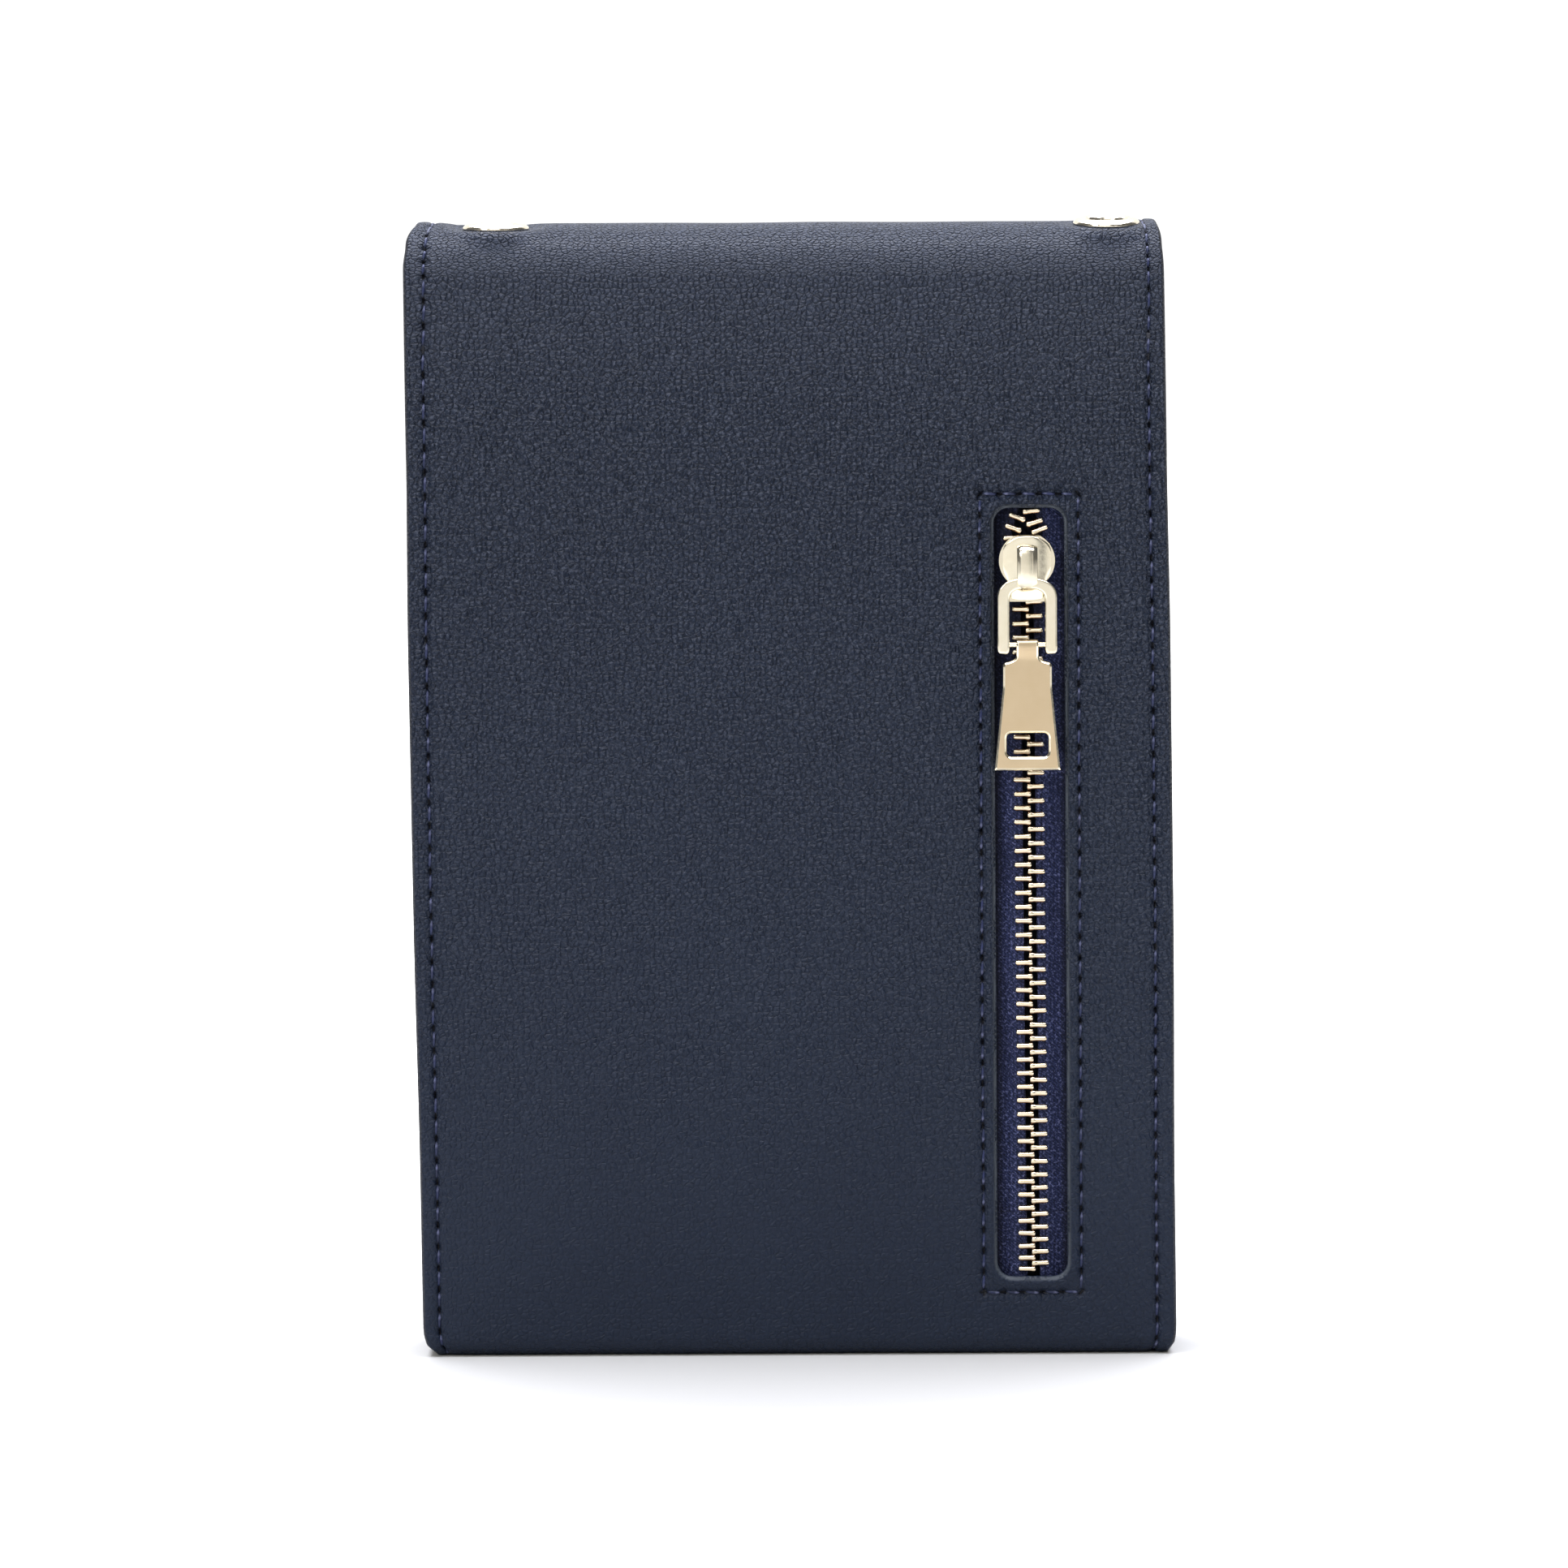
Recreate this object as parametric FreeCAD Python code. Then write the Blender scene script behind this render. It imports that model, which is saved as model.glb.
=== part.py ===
import FreeCAD, Part
import math
import os

# A slim upright flap wallet for a passport.  Millimetres, +Z up.
# Origin: middle of the flat underside.  The zipped back wall faces -Y, the flap hangs down in front at +Y.

V = FreeCAD.Vector

# ---------------------------------------------------------------- driving dimensions
WIDTH = 111.4            # across the leather, edge to edge
HEIGHT = 166.9           # floor to the top of the leather
DEPTH = 24.0             # back face to flap face
T_LEATHER = 1.3          # outer leather
T_FRONT = 1.2            # front wall leather
T_LINING = 0.7           # lining behind the flap
R_TOP = 7.5              # outside radius of the roll over the top
R_BOTTOM = 3.0           # outside radius of the wrap under the bottom
CASE_FRONT = 7.7         # y of the front wall's outer face, under the flap
WRAP_LIP = 9.0           # how far the bottom wrap comes up the front
BACK_TOP = HEIGHT - R_TOP - 0.6      # top of the back wall, just under the roll
FLAP_END = 68.0          # z of the flap's lower edge
FLAP_CORNER = 12.0

EDGE_SEAM = 2.6          # stitch line to the leather's edge
GUSSET_T = 1.0
GUSSET_WEB = 50.0        # x of the gusset web's inner face
GUSSET_TOP = 151.0

SLOT_X = 35.13           # middle of the zip window
SLOT_W = 10.3
SLOT_Z0, SLOT_Z1 = 11.7, 125.3
SLOT_R = 2.2
WINDOW_SEAM = 2.0        # stitch line to the window's edge

CHAIN_X = 34.72          # middle of the zip chain at the slider
CHAIN_LEAN = 0.008       # how far the chain drifts towards +X for each millimetre down
TOOTH_PITCH = 2.06
TOOTH_T = 0.88
TOOTH_IN, TOOTH_OUT = 0.5, 2.2       # how far a tooth passes the middle, and reaches the other way
TOOTH_Y0, TOOTH_Y1 = -11.55, -9.15
TAPE_Y0, TAPE_Y1 = -10.65, -10.05
TAPE_EDGE = 0.9          # tape edge to the chain's middle
SPLAY, SPLAY_Z = 1.2, 113.8   # how far each row stands aside inside the slider, and from what height

SLIDER_R = 4.1           # round upper half of the slider
SLIDER_ZC = 117.6
SLIDER_TOP, SLIDER_NECK, SLIDER_BOTTOM = 121.2, 114.65, 111.6
WING_T = 0.7
CROWN_W = 3.0
YOKE_AXIS_Y, YOKE_AXIS_Z = -13.4, 114.35
YOKE_HALF, YOKE_LEG, YOKE_T = 4.37, 1.77, 1.2
YOKE_BOTTOM = 104.0
PIN_Z, PIN_R = 105.35, 0.38
PLATE_T = 1.0
PLATE_BOTTOM = 86.9

EYELET_X, EYELET_MID = 45.0, 1.9     # half the distance between the eyelets, and x of their middle
EYELET_Y, EYELET_SINK = -0.6, 0.3    # and how far they sink into the leather
EYELET_TILT = 6.0        # degrees that the eyelets lean towards the back
EYELET_R_IN, EYELET_R_BARREL, EYELET_R_OUT = 2.75, 3.25, 5.0

SNAP_Z = 82.0
SNAP_R = 7.0

HW = WIDTH / 2.0
YB, YF = -DEPTH / 2.0, DEPTH / 2.0
OUT = "parts"
os.makedirs(OUT, exist_ok=True)


# ---------------------------------------------------------------- helpers
def box(x0, x1, y0, y1, z0, z1):
    return Part.makeBox(x1 - x0, y1 - y0, z1 - z0, V(x0, y0, z0))


def along(shape, axis, test):
    """Straight edges along an axis whose middle passes a test."""
    found = []
    for e in shape.Edges:
        a, b = e.Vertexes[0].Point, e.Vertexes[-1].Point
        d = b - a
        if d.Length < 1e-6:
            continue
        d.normalize()
        if abs(getattr(d, axis)) > 0.999 and test((a + b) * 0.5):
            found.append(e)
    return found


def rounded(shape, r, axis, test):
    return shape.makeFillet(r, along(shape, axis, test))


def cyl(r, p, d, length):
    return Part.makeCylinder(r, length, V(*p), V(*d))


def profile_x(points, x0, x1):
    """A closed polygon in the YZ plane, drawn out along X."""
    pts = [V(x0, y, z) for y, z in points]
    face = Part.Face(Part.makePolygon(pts + [pts[0]]))
    return face.extrude(V(x1 - x0, 0, 0))


def profile_y(points, y0, y1):
    """A closed polygon in the XZ plane, drawn out along Y."""
    pts = [V(x, y0, z) for x, z in points]
    face = Part.Face(Part.makePolygon(pts + [pts[0]]))
    return face.extrude(V(0, y1 - y0, 0))


def save(name, *solids):
    shape = solids[0] if len(solids) == 1 else Part.makeCompound(list(solids))
    for s in shape.Solids:
        if not s.isValid() or s.Volume <= 0:
            raise SystemExit("bad solid in " + name)
    if not shape.Solids:
        raise SystemExit("no solid in " + name)
    shape = shape.Solids[0] if len(shape.Solids) == 1 else Part.makeCompound(shape.Solids)
    shape.exportStep(os.path.join(OUT, name + ".step"))
    b = shape.BoundBox
    print("%-24s %3d solids  %7.2f %7.2f  %7.2f %7.2f  %7.2f %7.2f" % (
        name, len(shape.Solids), b.XMin, b.XMax, b.YMin, b.YMax, b.ZMin, b.ZMax))


# ---------------------------------------------------------------- outer leather of the case
def wrap(y0, y1, z0, z1, r, x0, x1):
    """A block with its two lower long edges rounded."""
    s = box(x0, x1, y0, y1, z0, z1)
    return rounded(s, r, "x", lambda m: abs(m.z - z0) < 1e-3)


outer = wrap(YB, CASE_FRONT, 0, BACK_TOP, R_BOTTOM, -HW, HW)
inner = wrap(YB + T_LEATHER, CASE_FRONT - T_FRONT, T_LEATHER, BACK_TOP + 1,
             R_BOTTOM - T_LEATHER, -HW - 1, HW + 1)
shell = outer.cut(inner)
shell = shell.cut(box(-HW - 1, HW + 1, 0, CASE_FRONT + 1, WRAP_LIP, HEIGHT))
slot = box(SLOT_X - SLOT_W / 2, SLOT_X + SLOT_W / 2, YB - 1, YB + T_LEATHER + 0.4, SLOT_Z0, SLOT_Z1)
slot = rounded(slot, SLOT_R, "y", lambda m: True)
back_panel = shell.cut(slot)
save("back_panel", back_panel)

front_panel = box(-HW, HW, CASE_FRONT - T_FRONT, CASE_FRONT, WRAP_LIP, 150.0)
front_panel = front_panel.cut(cyl(1.5, (0, CASE_FRONT - T_FRONT - 1, SNAP_Z), (0, 1, 0), 4))
save("front_panel", front_panel)

# ---------------------------------------------------------------- side gussets: a web with turned-out flanges
g_out = wrap(YB + T_LEATHER, CASE_FRONT - T_FRONT, T_LEATHER, GUSSET_TOP, R_BOTTOM - T_LEATHER,
             GUSSET_WEB, HW - 0.4)
g_in = wrap(YB + T_LEATHER + GUSSET_T, CASE_FRONT - T_FRONT - GUSSET_T, T_LEATHER + GUSSET_T, GUSSET_TOP + 1,
            0.7, GUSSET_WEB + GUSSET_T, HW + 1)
gusset_right = g_out.cut(g_in)
gusset_left = gusset_right.mirror(V(0, 0, 0), V(1, 0, 0))
save("gusset_right", gusset_right)
save("gusset_left", gusset_left)

# ---------------------------------------------------------------- zip pocket and linings
LIN_X = GUSSET_WEB - 0.3
BAG_X0, BAG_X1, BAG_Z0, BAG_Z1 = -47.0, 49.4, 5.0, 141.0
BAG_BACK, BAG_WALL = -5.1, 0.5
bag = box(BAG_X0, BAG_X1, YB + T_LEATHER, BAG_BACK, BAG_Z0, BAG_Z1)
bag = bag.cut(box(BAG_X0 + BAG_WALL, BAG_X1 - BAG_WALL, YB, BAG_BACK - BAG_WALL, BAG_Z0 + BAG_WALL, BAG_Z1 - BAG_WALL))
save("zip_pocket_bag", bag)

back_lining = profile_x([(-5.0, 3.0), (-4.4, 3.0), (-4.4, 141.8), (-9.4, 149.6), (-9.4, 157.0),
                         (-10.1, 157.0), (-10.1, 149.4), (-5.0, 141.5)], -LIN_X, LIN_X)
save("back_lining", back_lining)

CARD_Y0, CARD_Y1 = -4.4, -3.7
for name, z0, z1 in (("card_pocket_lower", 12.0, 58.0), ("card_pocket_middle", 58.2, 76.0), ("card_pocket_upper", 76.2, 94.0)):
    p = box(-46.0, 46.0, CARD_Y0, CARD_Y1, z0, z1)
    save(name, p)

FLIN0, FLIN1 = 5.9, CASE_FRONT - T_FRONT
front_lining = box(-LIN_X, LIN_X, FLIN0, FLIN1, 3.0, 149.0)
recess = cyl(6.2, (0, FLIN1 - 0.32, SNAP_Z), (0, 1, 0), 1.0)
front_lining = front_lining.cut(recess)
save("front_lining", front_lining)

passport_pocket = box(-LIN_X, LIN_X, 0.7, 1.4, 3.0, 104.0)
thumb = cyl(16.0, (0, 0, 112.0), (0, 1, 0), 3)
passport_pocket = passport_pocket.cut(thumb)
save("passport_pocket", passport_pocket)

bottom_lining = box(-LIN_X, LIN_X, -4.3, FLIN0 - 0.2, 1.95, 2.6)
save("bottom_lining", bottom_lining)

# ---------------------------------------------------------------- zip: tapes, teeth and stops
tape_band = (TAPE_Y0 - 0.02, TAPE_Y1 + 0.02)


def smooth(t):
    t = max(0.0, min(1.0, t))
    return t * t * (3 - 2 * t)


def chain_x(z):
    return CHAIN_X + CHAIN_LEAN * (118.0 - z)


def tooth(side, z, shift, tilt=0.0):
    """One metal tooth.  side is -1 on the left row and +1 on the right row."""
    c = chain_x(z)
    x_in, x_out = c - side * TOOTH_IN, c + side * TOOTH_OUT
    t = box(min(x_in, x_out), max(x_in, x_out), TOOTH_Y0, TOOTH_Y1, z - TOOTH_T / 2, z + TOOTH_T / 2)
    if tilt:
        t.rotate(V(c + side * 1.6, 0, z), V(0, 1, 0), tilt)
    t.translate(V(side * shift, 0, 0))
    lo, hi = (c + TAPE_EDGE - 0.06, c + 9) if side > 0 else (c - 9, c - TAPE_EDGE + 0.06)
    return t.cut(box(lo, hi, tape_band[0], tape_band[1], z - 3, z + 3))


tape_left = profile_y([(22.0, 6.2), (chain_x(6.2) - TAPE_EDGE, 6.2), (chain_x(139.0) - TAPE_EDGE, 139.0), (22.0, 139.0)], TAPE_Y0, TAPE_Y1)
tape_right = profile_y([(chain_x(6.2) + TAPE_EDGE, 6.2), (48.4, 6.2), (48.4, 139.0), (chain_x(139.0) + TAPE_EDGE, 139.0)], TAPE_Y0, TAPE_Y1)
save("zipper_tape_left", tape_left)
save("zipper_tape_right", tape_right)

left, right = [], []
z = SLOT_Z0 + 1.35
while z < SLIDER_TOP - 0.5:
    left.append(tooth(-1, z, SPLAY * smooth((z - SPLAY_Z) / 4.0)))
    zr = z + TOOTH_PITCH / 2
    if zr < SLIDER_TOP - 0.5:
        right.append(tooth(1, zr, SPLAY * smooth((zr - SPLAY_Z) / 4.0)))
    z += TOOTH_PITCH
left += [tooth(-1, SLIDER_TOP + 0.55, 1.05, 18.0), tooth(-1, SLIDER_TOP + 2.3, 0.55, 20.0)]
right += [tooth(1, SLIDER_TOP + 1.6, 0.4, -17.0), tooth(1, SLIDER_TOP + 3.45, 0.0, -5.0)]
save("zipper_teeth_left", *left)
save("zipper_teeth_right", *right)

top_stops = [box(CHAIN_X - 2.4, CHAIN_X - 0.95, TAPE_Y1 + 0.01, -9.0, SLOT_Z1 + 1.4, SLOT_Z1 + 4.6),
             box(CHAIN_X + 0.95, CHAIN_X + 2.4, TAPE_Y1 + 0.01, -9.0, SLOT_Z1 + 1.4, SLOT_Z1 + 4.6)]
save("zipper_top_stops", *top_stops)
cb = chain_x(SLOT_Z0)
save("zipper_bottom_stop", box(cb - 2.2, cb + 2.2, TAPE_Y1 + 0.01, -9.0, SLOT_Z0 - 3.8, SLOT_Z0 - 0.8))


# ---------------------------------------------------------------- slider with its crown
def slider_outline(inset, zlo, zhi, y0, y1):
    """The slider's guitar-head outline in the XZ plane, narrowed by inset, between two heights."""
    pts = []
    n = 44
    for i in range(n + 1):
        zz = zlo + (zhi - zlo) * i / n
        if zz > SLIDER_NECK:
            h = math.sqrt(max(SLIDER_R ** 2 - (zz - SLIDER_ZC) ** 2, 0.01))
        else:
            h = 2.58 + (2.85 - 2.58) * (zz - SLIDER_BOTTOM) / (SLIDER_NECK - SLIDER_BOTTOM)
        pts.append((max(h - inset, 0.2), zz))
    loop = [(CHAIN_X + x, zz) for x, zz in pts] + [(CHAIN_X - x, zz) for x, zz in reversed(pts)]
    return profile_y(loop, y0, y1)


F0, F1 = -12.35, -12.35 + WING_T          # front wing
B0, B1 = -9.05, -9.05 + WING_T            # back wing
front_wing = slider_outline(0, SLIDER_BOTTOM, SLIDER_TOP, F0, F1)
back_wing = slider_outline(0.1, SLIDER_BOTTOM, SLIDER_TOP, B0, B1)
FLANGE_TOP = SLIDER_ZC + 1.5
flange_f = slider_outline(0, SLIDER_BOTTOM, FLANGE_TOP, F1, -10.85).cut(slider_outline(0.32, SLIDER_BOTTOM - 1, FLANGE_TOP + 1, F1 - 1, -10))
flange_b = slider_outline(0.1, SLIDER_BOTTOM, FLANGE_TOP, -9.85, B0).cut(slider_outline(0.42, SLIDER_BOTTOM - 1, FLANGE_TOP + 1, -10.5, B0 + 1))
post = box(CHAIN_X - 0.5, CHAIN_X + 0.5, F1, B0, FLANGE_TOP - 0.1, SLIDER_TOP - 0.4)
slider_body = front_wing.fuse([back_wing, flange_f, flange_b, post]).removeSplitter()
save("slider_body", slider_body)

CROWN_Y = YOKE_AXIS_Y - 0.62 - 0.65
CB, CT = SLIDER_BOTTOM + 0.2, SLIDER_TOP
crown = profile_x([(F0, CB), (CROWN_Y + 0.75, CB + 0.4), (CROWN_Y + 0.1, CB + 1.4), (CROWN_Y, CB + 2.7), (CROWN_Y, CT - 1.7),
                   (CROWN_Y + 0.45, CT - 0.6), (CROWN_Y + 1.2, CT - 0.05), (F0, CT)], CHAIN_X - CROWN_W / 2, CHAIN_X + CROWN_W / 2)
tunnel = profile_x([(F0 + 0.5, YOKE_AXIS_Z - 0.62), (YOKE_AXIS_Y - 0.35, YOKE_AXIS_Z - 0.62), (YOKE_AXIS_Y - 0.62, YOKE_AXIS_Z - 0.3),
                    (YOKE_AXIS_Y - 0.62, CT - 2.0), (YOKE_AXIS_Y - 0.2, CT - 1.4), (F0 + 0.5, CT - 1.4)],
                   CHAIN_X - CROWN_W, CHAIN_X + CROWN_W)
crown = crown.cut(tunnel)
save("slider_crown", crown)

# ---------------------------------------------------------------- pull: yoke, pin and plate
YA, YZ = YOKE_AXIS_Y, YOKE_AXIS_Z
ybox = box(CHAIN_X - YOKE_HALF, CHAIN_X + YOKE_HALF, YA - YOKE_T / 2, YA + YOKE_T / 2, YOKE_BOTTOM, YZ + 0.8)
ybox = rounded(ybox, 3.0, "y", lambda m: m.z > YZ)
ybox = rounded(ybox, 0.45, "y", lambda m: m.z < YOKE_BOTTOM + 0.1)
yhole = box(CHAIN_X - YOKE_HALF + YOKE_LEG, CHAIN_X + YOKE_HALF - YOKE_LEG, YA - 2, YA + 2, YOKE_BOTTOM - 2, YZ - 0.8)
yhole = rounded(yhole, 1.3, "y", lambda m: m.z > YZ - 1)
yoke = ybox.cut(yhole)
yoke = yoke.cut(box(CHAIN_X - 1.85, CHAIN_X + 1.85, YA - 2, YA + 2, YZ - 2, YZ + 2))
yoke = yoke.fuse(cyl(0.5, (CHAIN_X - 2.2, YA, YZ), (1, 0, 0), 4.4))
yoke = yoke.cut(cyl(PIN_R + 0.01, (CHAIN_X - 6, YA, PIN_Z), (1, 0, 0), 12))
save("pull_yoke", yoke)

pin = cyl(PIN_R, (CHAIN_X - YOKE_HALF + 0.15, YA, PIN_Z), (1, 0, 0), 2 * YOKE_HALF - 0.3)
save("pull_pin", pin)

half = [(1.62, PIN_Z), (1.62, PIN_Z - 1.7), (1.9, PIN_Z - 2.15), (2.5, PIN_Z - 2.45), (3.2, PIN_Z - 2.65), (3.6, PIN_Z - 2.95),
        (3.64, PIN_Z - 6.3), (4.88, PLATE_BOTTOM)]
loop = [(CHAIN_X + x, zz) for x, zz in half] + [(CHAIN_X - x, zz) for x, zz in reversed(half)]
plate = profile_y(loop, YA - PLATE_T / 2, YA + PLATE_T / 2)
pwin = box(CHAIN_X - 3.07, CHAIN_X + 3.07, YA - 2, YA + 2, PLATE_BOTTOM + 2.0, PLATE_BOTTOM + 5.55)
pwin = rounded(pwin, 0.7, "y", lambda m: True)
barrel = cyl(0.78, (CHAIN_X - 1.95, YA, PIN_Z), (1, 0, 0), 3.9)
block = box(CHAIN_X - 1.95, CHAIN_X + 1.95, YA - PLATE_T / 2, YA + PLATE_T / 2, PIN_Z - 0.8, PIN_Z + 0.8)
plate = plate.fuse([barrel, block]).cut(pwin)
plate = plate.cut(cyl(PIN_R + 0.06, (CHAIN_X - 6, YA, PIN_Z), (1, 0, 0), 12)).removeSplitter()
save("pull_plate", plate)


# ---------------------------------------------------------------- top strip that rolls over the case, with its eyelets
def arch(y_half, top, r, x0, x1, z0):
    s = box(x0, x1, -y_half, y_half, z0, top)
    return rounded(s, r, "x", lambda m: abs(m.z - top) < 1e-3)


z_tan = HEIGHT - R_TOP
a0 = arch(YF, HEIGHT, R_TOP, -HW, HW, z_tan - 5)
a1 = arch(YF - T_LEATHER, HEIGHT - T_LEATHER, R_TOP - T_LEATHER, -HW - 1, HW + 1, z_tan - 6)
a1n = arch(YF - T_LEATHER, HEIGHT - T_LEATHER, R_TOP - T_LEATHER, -HW + 0.8, HW - 0.8, z_tan - 6)
a2 = arch(YF - T_LEATHER - T_LINING, HEIGHT - T_LEATHER - T_LINING, R_TOP - T_LEATHER - T_LINING,
          -HW - 1, HW + 1, z_tan - 7)
below = box(-HW - 2, HW + 2, -DEPTH, DEPTH, z_tan - 10, z_tan)
bridge = a0.cut(a1).cut(below)
bridge_lining = a1n.cut(a2).cut(below)


def tilted(s, x):
    """Leans a shape made about the upright axis through the origin, then stands it at an eyelet."""
    s.rotate(V(0, 0, 0), V(1, 0, 0), EYELET_TILT)
    s.translate(V(x, EYELET_Y, HEIGHT - EYELET_SINK))
    return s


def lathe(points, x):
    """A ring turned about the eyelet's axis, from (radius, height above the leather) points."""
    pts = [V(r, 0, zz) for r, zz in points]
    face = Part.Face(Part.makePolygon(pts + [pts[0]]))
    return tilted(face.revolve(V(0, 0, 0), V(0, 0, 1), 360), x)


ZL = -T_LEATHER - T_LINING - 0.1
ring = [(EYELET_R_IN, ZL - 1.0), (EYELET_R_IN, 0.35), (3.05, 0.75), (3.6, 0.95), (4.3, 0.8),
        (4.8, 0.45), (EYELET_R_OUT, 0.0), (EYELET_R_BARREL, 0.0), (EYELET_R_BARREL, ZL - 0.7),
        (3.95, ZL - 0.7), (3.7, ZL - 1.0)]
disc = [(EYELET_R_BARREL + 0.02, ZL - 0.7), (EYELET_R_OUT, ZL - 0.7), (EYELET_R_OUT, ZL - 0.22), (EYELET_R_BARREL + 0.02, ZL - 0.22)]
for x in (EYELET_MID - EYELET_X, EYELET_MID + EYELET_X):
    hole = tilted(cyl(EYELET_R_BARREL + 0.01, (0, 0, -8), (0, 0, 1), 12), x)
    seat = tilted(cyl(EYELET_R_OUT + 0.02, (0, 0, 0), (0, 0, 1), 3), x)
    under = tilted(cyl(EYELET_R_OUT + 0.02, (0, 0, ZL - 3), (0, 0, 1), 3 - 0.2), x)
    bridge = bridge.cut(hole).cut(seat)
    bridge_lining = bridge_lining.cut(hole).cut(under)
save("flap_bridge", bridge)
save("flap_bridge_lining", bridge_lining)
save("eyelet_left", lathe(ring, EYELET_MID - EYELET_X))
save("eyelet_right", lathe(ring, EYELET_MID + EYELET_X))
save("eyelet_washers", lathe(disc, EYELET_MID - EYELET_X), lathe(disc, EYELET_MID + EYELET_X))


# ---------------------------------------------------------------- flap that hangs down the front
def flap_sheet(inset, y0, y1, z1):
    s = box(-HW + inset, HW - inset, y0, y1, FLAP_END + inset, z1)
    return rounded(s, FLAP_CORNER - inset, "y", lambda m: m.z < FLAP_END + 5)


FL0 = YF - T_LEATHER
flap = flap_sheet(0.0, FL0, YF, BACK_TOP)
save("flap_leather", flap)
flap_lining = flap_sheet(0.8, FL0 - T_LINING, FL0, BACK_TOP)
flap_lining = flap_lining.cut(cyl(6.2, (0, FL0 - 0.32, SNAP_Z), (0, 1, 0), 1.0))
flap_lining = flap_lining.cut(cyl(1.6, (0, FL0 - T_LINING - 1, SNAP_Z), (0, 1, 0), 3.0))
save("flap_lining", flap_lining)

# ---------------------------------------------------------------- magnetic snap
LIN_FACE = FL0 - T_LINING                      # y of the flap lining's inner face
stud = cyl(SNAP_R, (0, LIN_FACE - 0.8, SNAP_Z), (0, 1, 0), 0.8)
stud = stud.fuse(cyl(2.3, (0, LIN_FACE - 1.8, SNAP_Z), (0, 1, 0), 1.1))
stud = stud.fuse(cyl(1.4, (0, LIN_FACE - 0.1, SNAP_Z), (0, 1, 0), 0.1 + T_LINING - 0.31)).removeSplitter()
save("snap_stud", stud)
save("snap_stud_washer", cyl(6.0, (0, FL0 - 0.3, SNAP_Z), (0, 1, 0), 0.3))
socket = cyl(SNAP_R, (0, CASE_FRONT, SNAP_Z), (0, 1, 0), 1.3)
socket = socket.cut(cyl(2.6, (0, CASE_FRONT + 0.2, SNAP_Z), (0, 1, 0), 3.0))
socket = socket.fuse(cyl(1.4, (0, CASE_FRONT - T_FRONT + 0.01, SNAP_Z), (0, 1, 0), T_FRONT)).removeSplitter()
save("snap_socket", socket)
save("snap_socket_washer", cyl(6.0, (0, CASE_FRONT - T_FRONT - 0.3, SNAP_Z), (0, 1, 0), 0.29))

# ---------------------------------------------------------------- sewing threads, each a thin raised line
TH, TW = 0.2, 0.5
sx = HW - EDGE_SEAM
back_runs = [box(s * sx - TW / 2, s * sx + TW / 2, YB - TH, YB, R_BOTTOM + 0.3, BACK_TOP - 0.3) for s in (-1, 1)]
front_runs = [box(s * sx - TW / 2, s * sx + TW / 2, CASE_FRONT, CASE_FRONT + TH, R_BOTTOM + 0.3, 149.7) for s in (-1, 1)]
save("side_seam_threads", *(back_runs + front_runs))
fr_out = rounded(box(SLOT_X - SLOT_W / 2 - WINDOW_SEAM - TW / 2, SLOT_X + SLOT_W / 2 + WINDOW_SEAM + TW / 2, YB - TH, YB,
                     SLOT_Z0 - WINDOW_SEAM - TW / 2, SLOT_Z1 + WINDOW_SEAM + TW / 2), 1.2, "y", lambda m: True)
fr_in = rounded(box(SLOT_X - SLOT_W / 2 - WINDOW_SEAM + TW / 2, SLOT_X + SLOT_W / 2 + WINDOW_SEAM - TW / 2, YB - 1, YB + 1,
                    SLOT_Z0 - WINDOW_SEAM + TW / 2, SLOT_Z1 + WINDOW_SEAM - TW / 2), 0.7, "y", lambda m: True)
save("zip_window_thread", fr_out.cut(fr_in))
flap_out = rounded(box(-sx - TW / 2, sx + TW / 2, YF, YF + TH, FLAP_END + EDGE_SEAM - TW / 2, BACK_TOP - 0.3),
                   FLAP_CORNER - EDGE_SEAM + TW / 2, "y", lambda m: m.z < FLAP_END + 9)
flap_in = rounded(box(-sx + TW / 2, sx - TW / 2, YF - 1, YF + 1, FLAP_END + EDGE_SEAM + TW / 2, BACK_TOP + 2),
                  FLAP_CORNER - EDGE_SEAM - TW / 2, "y", lambda m: m.z < FLAP_END + 9)
save("flap_thread", flap_out.cut(flap_in))
b_out = arch(YF + TH, HEIGHT + TH, R_TOP + TH, -HW, HW, z_tan - 5).cut(arch(YF, HEIGHT, R_TOP, -HW - 1, HW + 1, z_tan - 6)).cut(below)
runs = []
for s in (-1, 1):
    runs.append(b_out.common(box(s * sx - TW / 2, s * sx + TW / 2, -DEPTH, DEPTH, z_tan + 0.3, HEIGHT + 2)))
save("flap_bridge_threads", *runs)
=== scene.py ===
import math

import bpy
import numpy as np
from mathutils import Matrix, Vector
from mathutils.geometry import delaunay_2d_cdt


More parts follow.
